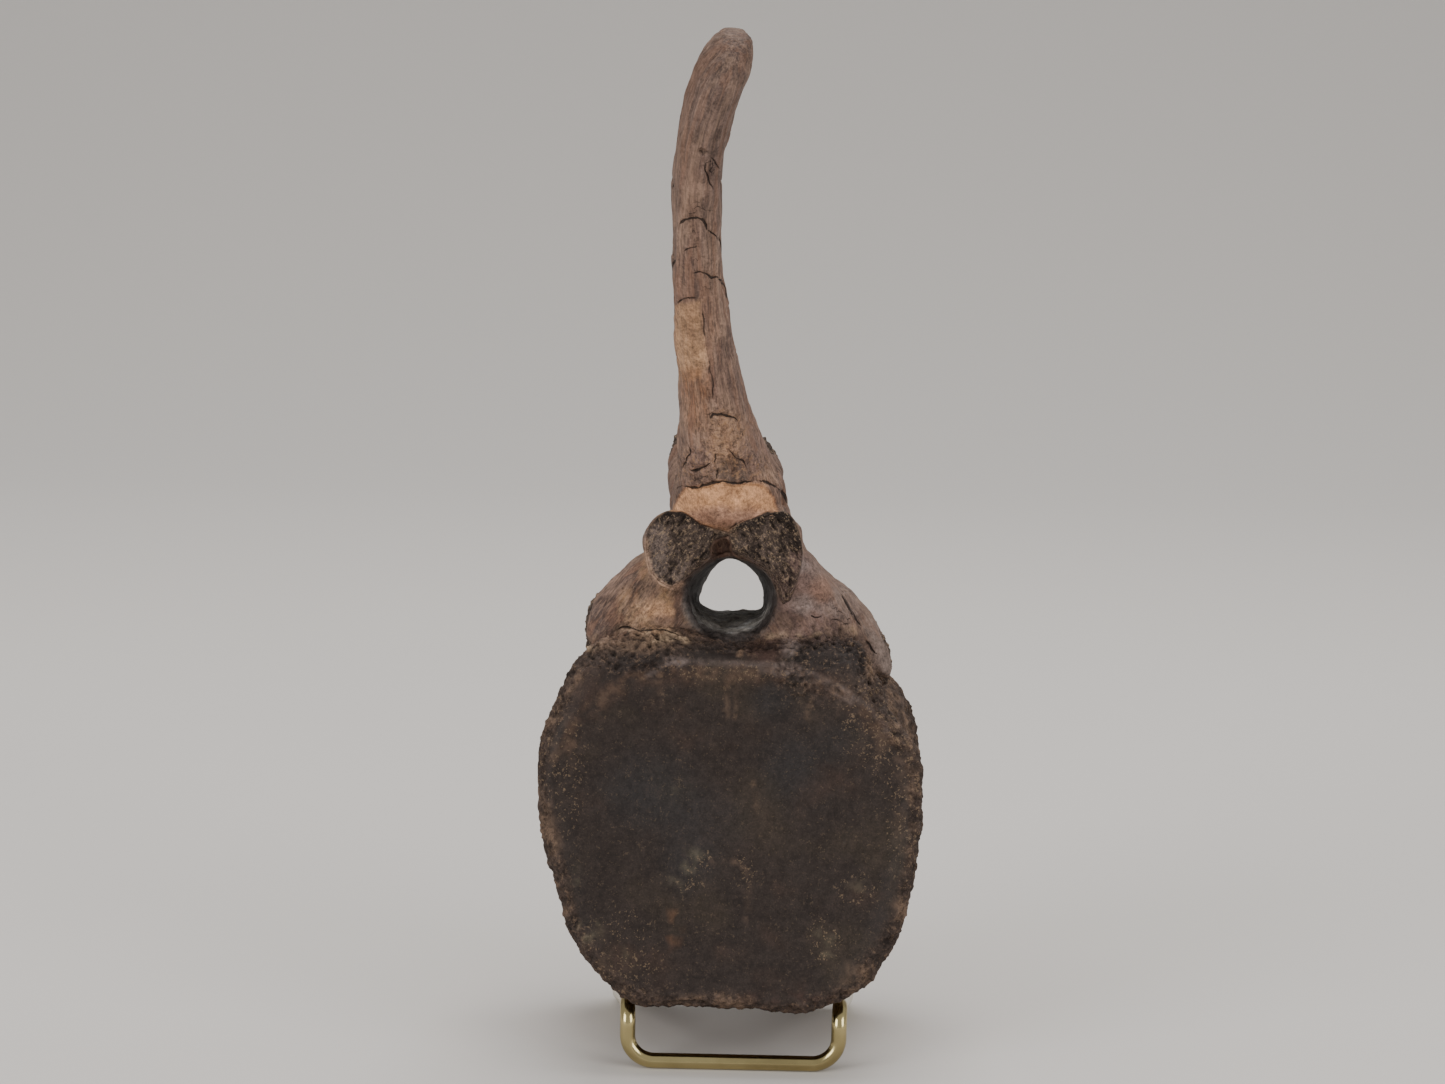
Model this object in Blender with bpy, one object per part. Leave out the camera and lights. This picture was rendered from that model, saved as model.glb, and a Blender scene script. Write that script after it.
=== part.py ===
"""A fossil tail vertebra of a large plant-eating dinosaur, resting on a small bent-wire stand.

The bone is described in its own frame, in millimetres: x to the right, y forwards along the tail
from the rear articular face, z up towards the back of the animal, origin at the middle of the rear
face. It is then tilted back and set on the stand. The stand and the whole object are in the
object's frame: rear face towards -Y, +Z up, origin on the ground.
"""

import math

import bmesh
import bpy
import numpy as np
from mathutils import Matrix, Vector, noise

MM = 0.001

# Placement of the bone
TILT = math.radians(11.0)
SIDEWAYS = math.radians(1.25)
BONE_AT = (-1.0, -25.1, 67.3)

# Centrum: radius of the rear rim around the face's middle, by angle from +x towards +z
CENTRUM_LENGTH = 70.0
REAR_RIM = (
    (-164, 50.6), (-146, 52.8), (-130, 54.8), (-119, 55.4), (-106, 51.6), (-85, 50.4), (-66, 55.2),
    (-54, 56.8), (-38, 55.4), (-22, 52.8), (-4, 52.0), (12, 53.8), (22, 54.8), (31, 53.4),
    (39, 54.4), (47, 58.0), (56, 60.4), (76, 53.2), (90, 50.0), (106, 56.0), (118, 60.0),
    (129, 62.0), (137, 60.8), (147, 58.8), (160, 56.4), (178, 52.2),
)
FRONT_RIM = (
    (-160, 51.0), (-142, 54.6), (-129, 57.4), (-120, 58.4), (-108, 54.8), (-90, 52.4), (-72, 54.8),
    (-60, 59.4), (-50, 58.4), (-38, 55.8),
    (-20, 53.6), (0, 54.4), (20, 58.4), (35, 62.0), (46, 62.2), (56, 58.8), (72, 51.5), (90, 49.0),
    (110, 52.0),
    (130, 58.6), (145, 58.2), (160, 55.6), (180, 52.4),
)
WAIST = 0.15
RIDGE_SHARE = ((-90, 0.93), (-20, 0.93), (31, 0.95), (52, 0.82), (76, 0.83), (109, 0.81),
               (145, 0.87), (162, 0.90), (210, 0.93))
RIDGE_HEIGHT = 0.7
DISH_DEPTH = 3.6
RIM_BEVEL = 3.0
SHOULDER_SET_BACK = 4.0
WAIST_POWER = 1.3
FRONT_RIDGE_SHARE = 0.9
CENTRUM_SIDES = 96

# Rings of the centrum: over each dish by share of the ridge's radius, over the side by share of its length
DISH_STEPS = (0.06, 0.3, 0.55, 0.75, 0.9)
SIDE_STEPS = (0.0, 0.05, 0.11, 0.18, 0.27, 0.38, 0.5, 0.62, 0.73, 0.82, 0.89, 0.95, 1.0)
MARGIN_SHARE = 0.45
MARGIN_DROP = 0.3

# Neural arch: height, half width, middle along y, half length, of each section
ARCH = (
    (34, 31, 34, 27), (46, 27.5, 34, 26), (54, 23.5, 33.5, 24), (62, 20.5, 33, 23), (70, 19, 33, 24),
    (78, 18.2, 33, 26), (85, 16.6, 32, 26), (91, 14, 31, 23), (96, 9, 29, 16),
)
ARCH_SQUARENESS = 2.7
ARCH_SIDES = 64
ARCH_SECTIONS = 22

# Transverse processes, broken short: side distance, height and y of the middle, half height, half length
LEFT_STUB = ((12, 62, 33, 17, 21), (22, 60.5, 33, 15.5, 18), (30, 57.5, 33, 13.2, 14.5),
             (35.4, 54.5, 32, 10.6, 12), (38.8, 52.6, 31.5, 8.6, 10.5), (40.2, 52, 31.5, 7, 9))
RIGHT_STUB = ((12, 63, 32, 17.5, 27), (20, 60.3, 33, 16.2, 23.5), (28, 55.6, 34, 12.8, 18.5),
              (35, 51.4, 35, 11.6, 15), (39.6, 47.8, 36, 10.2, 12.5), (42.8, 45, 36, 7.8, 10.5),
              (44.8, 43, 36, 5.2, 8))
STUB_SQUARENESS = 2.5
STUB_SIDES = 48
STUB_SECTIONS = 16

# Rear zygapophyses, broken off: outlines of the broken faces, x and z
LEFT_FACET = ((-24, 77), (-21.4, 82.4), (-17.2, 84.9), (-12.5, 84.8), (-9, 82), (-3.4, 80.4),
              (1, 79), (-3, 77.4), (-4.9, 75), (-5.3, 71.6), (-11.2, 67.3), (-16.2, 63.6),
              (-20.2, 65.4), (-23.2, 70.6))
RIGHT_FACET = ((-1.4, 78.6), (0.4, 80.8), (4, 82.4), (9.7, 84.8), (15.2, 84.8), (18.6, 79.6),
               (19.6, 74.8), (19, 68), (16.4, 62.4), (14.7, 60), (12.6, 62.6), (9.2, 67.6),
               (3.8, 71), (0.6, 73), (0, 76))
FACET_SIDES = 48

# The same, from the broken face to the root: y and share of the outline's size
FACET_SECTIONS = ((-3.0, 0.9), (-2.2, 0.98), (-0.6, 1.0), (4.0, 0.97), (9.0, 0.9), (18.0, 0.8))

# Flank that joins the right facet to its stub: height, middle x and y, half width, half length
RIGHT_FLANK = (
    (50, 18, 24, 18, 18), (58, 18, 23, 16, 19), (64, 18, 22, 12, 20), (70, 17, 21, 8, 21.5),
    (76, 14, 20.5, 6.6, 22), (82, 12, 21, 6.4, 21.5), (86, 10, 24, 3.5, 14),
)
FLANK_SQUARENESS = 2.5
FLANK_SIDES = 48
FLANK_SECTIONS = 18

# Front zygapophyses, stumps beside the root of the spine: x, y, z and half thickness along each
LEFT_PRONG = ((-8, 42, 78, 12), (-9.6, 50, 86, 10.4), (-11.9, 57, 95, 8.4), (-13, 62, 102, 7.4),
              (-12.4, 64.5, 109, 5.4), (-11.8, 65.8, 113.4, 3))
RIGHT_PRONG = ((8, 42, 78, 12), (9, 50, 86, 10.4), (9.8, 57, 94, 8.6), (9.6, 62, 101, 7.4),
               (8.4, 64.5, 106.5, 5), (7.8, 65.5, 109, 2.8))
PRONG_SHAPE = (0.72, 1.1, 0.5)
PRONG_SIDES = 32
PRONG_SECTIONS = 14

# Squareness of the rounded sections of the prongs and the spine
ROUND_SQUARENESS = 2.2

# Neural spine: along the lean, x of the middle, half width, half depth
SPINE_LEAN = math.radians(40.0)
SPINE_ROOT = (31.0, 78.0)
SPINE = (
    (-6, 0.5, 17, 20), (8, 0.3, 16.6, 18.5), (17, -0.4, 15.4, 17), (24, -1, 14.2, 16),
    (33, -2.4, 12.2, 15), (47, -4.4, 9.6, 13.8), (60, -5.9, 8.1, 13), (73, -7.1, 7.5, 12.4),
    (87, -8.3, 6.9, 12), (103, -8.8, 6.5, 11.8), (116, -8.7, 6.6, 12), (128, -7.8, 6.3, 12.4),
    (138, -6.1, 6.7, 12.8), (147, -3.7, 6.8, 12.8), (154, -1.4, 6.6, 12), (157.4, -0.1, 5.6, 10.2),
    (159.6, 0.8, 4.4, 7.4), (160.8, 1.1, 2.6, 4.4),
)
SPINE_KEEL = 0.28
SPINE_SIDES = 48
SPINE_SECTIONS = 60

# Neural canal: outlines of its rear and front mouths, x and z
CANAL_REAR = ((-12.7, 63), (-11.4, 57.8), (-8, 52.2), (-2, 50), (4, 50.4), (9.4, 53.6), (12.3, 60),
              (11.6, 66.4), (6.4, 70.4), (0.4, 72.8), (-5.6, 71), (-10.6, 68))
CANAL_FRONT = ((-8.9, 63.6), (-8.9, 61), (-6, 59.4), (-2, 58.9), (3, 58.8), (8.4, 59.4), (9.1, 62.4),
               (8, 67.7), (4.5, 71.5), (-0.9, 74), (-5.5, 70.8), (-8, 66.6))
CANAL_SIDES = 40

# The canal from behind the rear mouth to before the front one: y, share of the front outline, widening
CANAL_SECTIONS = ((-20, 0, 1.12), (0, 0, 1.1), (6, 0, 1), (14, 0.3, 1), (26, 0.62, 1), (40, 0.88, 1),
                  (54, 1, 1), (62, 1, 1.1), (95, 1, 1.25))

# Stand: half widths, distances along y and heights of the wire's middle line
STAND_X = 1.0
WIRE = 4.2
WIRE_SIDES = 12
POST_X = 28.7
POST_Y = -28.3
BEND_Z = 18.3
ELBOW_X = 33.0
ELBOW_Y = 36.9
BACK_TOP_X = 31.0
BACK_TOP_Z = 80.0
FLOOR_CORNER = 7.2
POST_CORNER = 5.0
ELBOW_CORNER = 7.0
TOP_CORNER = 9.0

# Relief: where each part of the bone begins and ends, and how rough it is
SPINE_STARTS = (92, 108)
CENTRUM_ENDS = (50, 62)
RIM_BAND = (5, 14)
FACE_BAND = (2, 6)
FACE_RADII = (38, 48)
RIM_RADII = (40, 50)
UNEVEN = 0.5
UNEVEN_SIZE = 16
FACE_CALM = 0.6
RIM_LUMPS = 0.7
RIM_LUMP_SIZE = 7
NEAR_SHARE = 0.35
PIT_SHARPNESS = 1.6
OCTAVE_KEEP = 0.9
OCTAVE_STEP = 2.1
GRAIN_ACROSS = 4.0
GRAIN_ALONG = 26.0
GRAIN_HEIGHT = 0.7

# Rough patches: middle, reach, height and size of the lumps, depth and size of the pits
ROUGH_PATCHES = (
    ((-32, 6, 50), 16, 1.2, 7, 0.6, 6),
    ((33, 6, 46), 18, 1.3, 7, 0.8, 6),
    ((-13, -3, 75), 14, 0.9, 4.5, 1.6, 5),
    ((10, -3, 75), 15, 0.9, 4.5, 1.6, 5),
    ((-40, 31, 54), 13, 1.3, 6, 0.8, 6),
    ((42, 35, 48), 14.5, 1.3, 6, 0.8, 6),
    ((-12, 65, 109), 9.5, 1.1, 5, 0.0, 5),
    ((8, 65, 107), 9, 1.1, 5, 0.0, 5),
)

# Broad swellings: middle, reach, height; the first meets the stand's right post
SWELLINGS = (((29, 9, -44), 15, 1.5),)

# Meshing
VOXEL = 1.25
SOFTENING = 5
BONE_TRIANGLES = 7600
WIRE_STEP = math.radians(16)
MERGE = 0.01

# Plain materials: linear colour, roughness, metallic
BONE_LOOK = ((0.11, 0.075, 0.055, 1), 0.62, 0.0)
BRASS_LOOK = ((0.72, 0.60, 0.34, 1), 0.3, 1.0)


def curve_through(pairs, at, period=None):
    """A smooth curve through (key, value, ...) rows, each slope taken from the rows beside it."""
    rows = np.array(pairs, float)
    if period:
        turn = np.zeros(rows.shape[1])
        turn[0] = period
        rows = np.concatenate([rows[-3:] - turn, rows, rows[:3] + turn])
    keys, values = rows[:, 0], rows[:, 1:]
    slopes = np.gradient(values, keys, axis=0)
    at = np.asarray(at, float)
    i = np.clip(np.searchsorted(keys, at, side="right") - 1, 0, len(keys) - 2)
    width = (keys[i + 1] - keys[i])[..., None]
    t = ((at - keys[i]) / (keys[i + 1] - keys[i]))[..., None]
    return (
        (2 * t**3 - 3 * t**2 + 1) * values[i]
        + (t**3 - 2 * t**2 + t) * width * slopes[i]
        + (3 * t**2 - 2 * t**3) * values[i + 1]
        + (t**3 - t**2) * width * slopes[i + 1]
    )


def by_angle(table, degrees):
    """A radius or share given by angle round the centrum."""
    start = table[0][0]
    return curve_through(table, (degrees - start) % 360 + start, 360)[:, 0]


def closed_outline(points, count):
    """Count points on a smooth closed curve through the given ones."""
    rows = [(i, *point) for i, point in enumerate(points)]
    return curve_through(rows, np.linspace(0, len(points), count, endpoint=False), len(points))


def oval(angle, squareness):
    """Cosine and sine of a rounded box: 2 is an ellipse, more is squarer."""
    c, s = np.cos(angle), np.sin(angle)
    return np.sign(c) * abs(c) ** (2 / squareness), np.sign(s) * abs(s) ** (2 / squareness)


def angles(count):
    return np.linspace(0, 2 * np.pi, count, endpoint=False)


def lofted(rings):
    """Points and faces of the closed body through a (rings, around, 3) array, a pole at each end."""
    rings = np.asarray(rings, float)
    count, around = rings.shape[:2]
    points = np.concatenate([rings.reshape(-1, 3), rings[[0, -1]].mean(axis=1)])
    faces = []
    for i in range(count - 1):
        for j in range(around):
            k = (j + 1) % around
            faces.append((i * around + j, i * around + k, (i + 1) * around + k, (i + 1) * around + j))
    last = (count - 1) * around
    for j in range(around):
        k = (j + 1) % around
        faces.append((k, j, count * around))
        faces.append((last + j, last + k, count * around + 1))
    return points, faces


def centrum():
    """The spool: dished faces inside a raised ridge, bevelled rims, a drawn-in waist."""
    angle = angles(CENTRUM_SIDES)
    degrees = np.degrees(angle)
    rear, front, ridge = (by_angle(table, degrees) for table in (REAR_RIM, FRONT_RIM, RIDGE_SHARE))
    top = np.clip(np.sin(angle), 0, 1) ** 2
    c, s = np.cos(angle), np.sin(angle)

    def ring(radius, y):
        return np.stack([radius * c, np.broadcast_to(y, angle.shape), radius * s], axis=-1)

    def face(rim, share, y, outwards):
        rings = []
        for f in DISH_STEPS:
            rings.append(ring(rim * share * f, y - outwards * DISH_DEPTH * (1 - f**2)))
        rings.append(ring(rim * share, y + outwards * RIDGE_HEIGHT))
        margin = share + (1 - share) * MARGIN_SHARE
        rings.append(ring(rim * margin, y - outwards * MARGIN_DROP))
        return rings

    rings = face(rear, ridge, 0.0, -1)
    for t in SIDE_STEPS:
        radius = rear + (front - rear) * t
        waist = 1 - WAIST * math.sin(math.pi * t) ** WAIST_POWER
        inside = RIM_BEVEL + (CENTRUM_LENGTH - 2 * RIM_BEVEL) * t
        rings.append(ring(radius * waist, inside + SHOULDER_SET_BACK * top * (1 - t)))
    front_share = np.full(angle.shape, FRONT_RIDGE_SHARE)
    rings.extend(reversed(face(front, front_share, CENTRUM_LENGTH, 1)))
    return lofted(np.array(rings)[:, ::-1])


def neural_arch():
    """The block over the centrum that the canal runs through, its sections stacked upwards."""
    c, s = oval(angles(ARCH_SIDES), ARCH_SQUARENESS)
    rings = []
    for z in np.linspace(ARCH[0][0], ARCH[-1][0], ARCH_SECTIONS):
        half_width, middle, half_length = curve_through(ARCH, z)
        rings.append(np.stack([half_width * c, middle + half_length * s, z + 0 * c], axis=-1))
    return lofted(rings)


def right_flank():
    """The slope of bone between the right facet and the stub below it, stacked upwards."""
    c, s = oval(angles(FLANK_SIDES), FLANK_SQUARENESS)
    rings = []
    for z in np.linspace(RIGHT_FLANK[0][0], RIGHT_FLANK[-1][0], FLANK_SECTIONS):
        x, y, half_width, half_length = curve_through(RIGHT_FLANK, z)
        rings.append(np.stack([x + half_width * c, y + half_length * s, z + 0 * c], axis=-1))
    return lofted(rings)


def transverse_stub(table, side):
    """One broken transverse process, its oval sections carried sideways."""
    c, s = oval(angles(STUB_SIDES), STUB_SQUARENESS)
    rings = []
    for x in np.linspace(table[0][0], table[-1][0], STUB_SECTIONS):
        z, y, half_height, half_length = curve_through(table, x)
        rings.append(np.stack([side * x + 0 * c, y + half_length * c, z + half_height * s], axis=-1))
    rings = np.array(rings)
    return lofted(rings[:, ::-side])


def carried_along(first, last, sections):
    """Body from one x and z outline to another: y, share of the last one, and widening of each ring."""
    rings = []
    for y, share, scale in sections:
        edge = first + (last - first) * share
        middle = edge.mean(axis=0)
        around = middle + (edge - middle) * scale
        rings.append(np.stack([around[:, 0], np.full(len(edge), y), around[:, 1]], axis=-1))
    return lofted(rings)


def rear_zygapophysis(outline):
    """One tongue of bone beside the canal, its broken face turned to the rear."""
    edge = closed_outline(outline, FACET_SIDES)
    return carried_along(edge, edge, [(y, 0, scale) for y, scale in FACET_SECTIONS])


def front_zygapophysis(table):
    """One stump that rises forwards beside the root of the spine."""
    rows = [(i, *row) for i, row in enumerate(table)]
    c, s = oval(angles(PRONG_SIDES), ROUND_SQUARENESS)
    rings = []
    for step in np.linspace(0, len(table) - 1, PRONG_SECTIONS):
        x, y, z, thick = curve_through(rows, step)
        half_x, half_y, half_z = thick * np.array(PRONG_SHAPE)
        rings.append(np.stack([x + half_x * c, y + half_y * s, z + half_z * s], axis=-1))
    return lofted(rings)


def spine():
    """The long neural spine: rounded behind, keeled in front, leaning back along the tail."""
    c, s = oval(angles(SPINE_SIDES), ROUND_SQUARENESS)
    lean_y, lean_z = -math.sin(SPINE_LEAN), math.cos(SPINE_LEAN)
    rings = []
    for along in np.linspace(SPINE[0][0], SPINE[-1][0], SPINE_SECTIONS):
        x, half_width, half_depth = curve_through(SPINE, along)
        narrowed = half_width * (1 - SPINE_KEEL * np.clip(s, 0, 1))
        y = SPINE_ROOT[0] + along * lean_y + half_depth * s * lean_z
        z = SPINE_ROOT[1] + along * lean_z - half_depth * s * lean_y
        rings.append(np.stack([x + narrowed * c, y, z], axis=-1))
    return lofted(rings)


def canal():
    """The tunnel for the nerve cord, from its wide rear mouth to its smaller front one."""
    rear, front = closed_outline(CANAL_REAR, CANAL_SIDES), closed_outline(CANAL_FRONT, CANAL_SIDES)
    return carried_along(rear, front, CANAL_SECTIONS)


def mesh_of(name, bodies):
    """One mesh, in metres, of several closed bodies in the bone's frame."""
    points, faces = [], []
    for body_points, body_faces in bodies:
        start = sum(len(p) for p in points)
        points.append(body_points)
        faces.extend([tuple(start + i for i in face) for face in body_faces])
    mesh = bpy.data.meshes.new(name)
    mesh.from_pydata((np.concatenate(points) * MM).tolist(), [], faces)
    mesh.validate()
    return mesh


def placed(name, mesh):
    item = bpy.data.objects.new(name, mesh)
    bpy.context.scene.collection.objects.link(item)
    return item


def face_outwards(mesh):
    work = bmesh.new()
    work.from_mesh(mesh)
    bmesh.ops.recalc_face_normals(work, faces=work.faces)
    work.to_mesh(mesh)
    work.free()


def evaluated_mesh(item):
    """The object's mesh with its modifiers carried out."""
    bpy.context.view_layer.update()
    graph = bpy.context.evaluated_depsgraph_get()
    return bpy.data.meshes.new_from_object(item.evaluated_get(graph))


def fuse(item, voxel):
    remesh = item.modifiers.new("fuse", "REMESH")
    remesh.mode = "VOXEL"
    remesh.voxel_size = voxel * MM


def whole_bone():
    """All the bone's bodies grown together, with the canal cut through and the joins softened."""
    blank = placed("blank", mesh_of("blank", [
        centrum(), neural_arch(), transverse_stub(LEFT_STUB, -1), transverse_stub(RIGHT_STUB, 1),
        rear_zygapophysis(LEFT_FACET), rear_zygapophysis(RIGHT_FACET), right_flank(),
        front_zygapophysis(LEFT_PRONG), front_zygapophysis(RIGHT_PRONG), spine(),
    ]))
    cutter = placed("canal", mesh_of("canal", [canal()]))
    face_outwards(cutter.data)
    fuse(blank, VOXEL)
    cut = blank.modifiers.new("canal", "BOOLEAN")
    cut.operation = "DIFFERENCE"
    cut.solver = "EXACT"
    cut.object = cutter
    fuse(blank, VOXEL)
    soften = blank.modifiers.new("soften", "SMOOTH")
    soften.factor = 0.5
    soften.iterations = SOFTENING
    mesh = evaluated_mesh(blank)
    bpy.data.objects.remove(blank)
    bpy.data.objects.remove(cutter)
    return mesh


def rise(value, low, high):
    """0 below low, 1 above high, smooth between."""
    t = min(max((value - low) / (high - low), 0.0), 1.0)
    return t * t * (3 - 2 * t)


def near(point, centre, reach):
    """1 at the centre, falling to 0 at reach."""
    return 1 - rise((point - Vector(centre)).length, NEAR_SHARE * reach, reach)


def lumps(point, size, seed, octaves=3):
    shifted = point / size + Vector((seed, 2.3 * seed, -seed))
    return noise.fractal(shifted, OCTAVE_KEEP, OCTAVE_STEP, octaves)


def pits(point, size, seed):
    """About 1 in the middle of each pit, 0 on the walls between them."""
    distances, _ = noise.voronoi(point / size + Vector((seed, seed, seed)))
    return max(0.0, 1 - PIT_SHARPNESS * distances[0])


def relief(point):
    """How far the surface stands out at a point of the bone, in millimetres."""
    x, y, z = point
    radius = math.hypot(x, z)
    on_spine = rise(z, *SPINE_STARTS)
    on_centrum = 1 - rise(z, *CENTRUM_ENDS)
    by_rim = max(1 - rise(y, *RIM_BAND), 1 - rise(CENTRUM_LENGTH - y, *RIM_BAND))
    on_face = on_centrum * (1 - rise(y, *FACE_BAND)) * (1 - rise(radius, *FACE_RADII))
    height = UNEVEN * lumps(point, UNEVEN_SIZE, 3) * (1 - FACE_CALM * on_face)
    on_margin = on_centrum * by_rim * rise(radius, *RIM_RADII)
    height += RIM_LUMPS * on_margin * lumps(point, RIM_LUMP_SIZE, 5)
    for centre, reach, lump, lump_size, pit, pit_size in ROUGH_PATCHES:
        share = near(point, centre, reach)
        if share:
            bumps = lump * lumps(point, lump_size, 11 + reach)
            height += share * (bumps - pit * pits(point, pit_size, reach))
    for centre, reach, swell in SWELLINGS:
        height += swell * near(point, centre, reach)
    along = (z - SPINE_ROOT[1]) / math.cos(SPINE_LEAN)
    grain = Vector((x / GRAIN_ACROSS, y / GRAIN_ACROSS, along / GRAIN_ALONG))
    return height + on_spine * GRAIN_HEIGHT * lumps(grain, 1, 23)


def weather(mesh):
    """Moves each point of the bone out or in by its relief."""
    spots = [vertex.co.copy() for vertex in mesh.vertices]
    normals = [vertex.normal.copy() for vertex in mesh.vertices]
    for vertex, spot, normal in zip(mesh.vertices, spots, normals):
        vertex.co = spot + normal * relief(spot / MM) * MM


def set_on_stand(mesh):
    """Turns the bone from its own frame into the object's."""
    tilt = Matrix.Rotation(-SIDEWAYS, 4, "Y") @ Matrix.Rotation(-TILT, 4, "X")
    mesh.transform(Matrix.Translation(Vector(BONE_AT) * MM) @ tilt)


def vertebra():
    mesh = whole_bone()
    weather(mesh)
    set_on_stand(mesh)
    mesh.name = "vertebra"
    bone = placed("vertebra", mesh)
    thin = bone.modifiers.new("fewer faces", "DECIMATE")
    mesh.calc_loop_triangles()
    thin.ratio = BONE_TRIANGLES / len(mesh.loop_triangles)
    mesh.materials.append(material("fossil_bone", *BONE_LOOK))
    mesh.shade_smooth()
    return bone


def rounded(corners, radii, step):
    """A path through the corners, each but the ends turned into an arc of its radius."""
    path = [corners[0]]
    for before, corner, after, radius in zip(corners, corners[1:], corners[2:], radii):
        into = (corner - before) / np.linalg.norm(corner - before)
        out = (after - corner) / np.linalg.norm(after - corner)
        turn = math.acos(float(into @ out))
        reach = radius * math.tan(turn / 2)
        start = corner - into * reach
        side = out - into * float(into @ out)
        side /= np.linalg.norm(side)
        for share in np.linspace(0, 1, max(3, round(turn / step)) + 1):
            bend = turn * share
            path.append(start + radius * (math.sin(bend) * into + (1 - math.cos(bend)) * side))
    path.append(corners[-1])
    return np.array(path)


def tube_rings(path, radius, sides, normal):
    """Rings of a round wire along a path, turned with it as little as the bends need."""
    tangents = np.gradient(path, axis=0)
    tangents /= np.linalg.norm(tangents, axis=1)[:, None]
    tangents[0], tangents[-1] = (1, 0, 0), (-1, 0, 0)
    angle = (np.arange(sides) + 0.5) * 2 * np.pi / sides
    rings = []
    for spot, tangent in zip(path, tangents):
        normal = normal - tangent * (normal @ tangent)
        normal /= np.linalg.norm(normal)
        side = np.cross(tangent, normal)
        rings.append(spot + radius * (np.outer(np.cos(angle), normal) + np.outer(np.sin(angle), side)))
    return np.array(rings)


def wire_stand():
    """One loop of round wire: bar on the ground, posts, arms back to the elbows, back rest."""
    radius = WIRE / 2
    bar_z = radius * math.cos(math.pi / WIRE_SIDES)
    lean = math.tan(TILT)
    corners = np.array([
        (0, POST_Y, bar_z),
        (POST_X, POST_Y, bar_z),
        (POST_X, POST_Y, BEND_Z),
        (ELBOW_X, ELBOW_Y, radius),
        (BACK_TOP_X, ELBOW_Y + lean * BACK_TOP_Z, BACK_TOP_Z),
        (0, ELBOW_Y + lean * BACK_TOP_Z, BACK_TOP_Z),
    ])
    path = rounded(corners, (FLOOR_CORNER, POST_CORNER, ELBOW_CORNER, TOP_CORNER), WIRE_STEP)
    rings = tube_rings(path, radius, WIRE_SIDES, np.array((0.0, 0.0, 1.0)))
    count, sides = rings.shape[:2]
    faces = [
        (i * sides + j, i * sides + (j + 1) % sides, (i + 1) * sides + (j + 1) % sides, (i + 1) * sides + j)
        for i in range(count - 1)
        for j in range(sides)
    ]
    mesh = bpy.data.meshes.new("wire_stand")
    mesh.from_pydata((rings.reshape(-1, 3) * MM).tolist(), [], faces)
    mesh.materials.append(material("brass_wire", *BRASS_LOOK))
    mesh.shade_smooth()
    stand = placed("wire_stand", mesh)
    stand.location.x = STAND_X * MM
    mirror = stand.modifiers.new("other half", "MIRROR")
    mirror.merge_threshold = MERGE * MM
    return stand


def material(name, colour, roughness, metallic):
    made = bpy.data.materials.new(name)
    made.use_nodes = True
    shader = made.node_tree.nodes["Principled BSDF"]
    shader.inputs["Base Color"].default_value = colour
    shader.inputs["Roughness"].default_value = roughness
    shader.inputs["Metallic"].default_value = metallic
    made.diffuse_color = colour
    return made


def main():
    for item in list(bpy.data.objects):
        bpy.data.objects.remove(item)
    vertebra()
    wire_stand()


main()
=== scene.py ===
"""Looks of the fossil tail vertebra on its bent-wire stand.

Lengths are in millimetres and the bone is described in its own frame: x to the right, y forwards
along the tail from the rear articular face, z towards the animal's back. Marks on the side that the
camera sees are placed by the picture's own pixels, which view_places works out for any point.
"""

import math
from types import SimpleNamespace

import bpy
import numpy as np
from mathutils import Matrix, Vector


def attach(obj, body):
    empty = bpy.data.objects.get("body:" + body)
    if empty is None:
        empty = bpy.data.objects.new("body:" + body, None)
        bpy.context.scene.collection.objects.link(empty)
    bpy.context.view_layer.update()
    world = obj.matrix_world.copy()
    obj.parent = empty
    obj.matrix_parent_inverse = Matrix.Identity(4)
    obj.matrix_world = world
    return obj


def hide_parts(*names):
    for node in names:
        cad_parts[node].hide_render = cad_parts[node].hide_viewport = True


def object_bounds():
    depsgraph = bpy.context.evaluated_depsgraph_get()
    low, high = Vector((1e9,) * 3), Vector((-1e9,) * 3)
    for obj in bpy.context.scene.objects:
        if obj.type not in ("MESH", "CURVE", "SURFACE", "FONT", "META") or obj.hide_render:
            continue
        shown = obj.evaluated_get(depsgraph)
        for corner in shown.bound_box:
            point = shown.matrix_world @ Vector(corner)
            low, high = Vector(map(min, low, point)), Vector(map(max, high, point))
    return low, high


MM = 0.001

# Placement of the bone
TILT = math.radians(11.0)
SIDEWAYS = math.radians(1.25)
BONE_AT = (-1.0, -25.1, 67.3)

# Centrum: length, radius of each end by angle (0 is right, 90 is up), how far the waist draws in,
# share of the radius where the ridge lies, its height, depth of the dish inside it, bevel of the
# rims, and how far the shoulders stand back
CENTRUM_LENGTH = 70.0
REAR_RIM = (
    (-164, 50.6), (-146, 52.8), (-130, 54.8), (-119, 55.4), (-106, 51.6), (-85, 50.4), (-66, 55.2),
    (-54, 56.8), (-38, 55.4), (-22, 52.8), (-4, 52.0), (12, 53.8), (22, 54.8), (31, 53.4), (39, 54.4),
    (47, 58.0), (56, 60.4), (76, 53.2), (90, 50.0), (106, 56.0), (118, 60.0), (129, 62.0),
    (137, 60.8), (147, 58.8), (160, 56.4), (178, 52.2),
)
FRONT_RIM = (
    (-160, 51.0), (-142, 54.6), (-129, 57.4), (-120, 58.4), (-108, 54.8), (-90, 52.4), (-72, 54.8),
    (-60, 59.4), (-50, 58.4), (-38, 55.8), (-20, 53.6), (0, 54.4), (20, 58.4), (35, 62.0), (46, 62.2),
    (56, 58.8), (72, 51.5), (90, 49.0), (110, 52.0), (130, 58.6), (145, 58.2), (160, 55.6), (180, 52.4),
)
WAIST = 0.15
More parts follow.
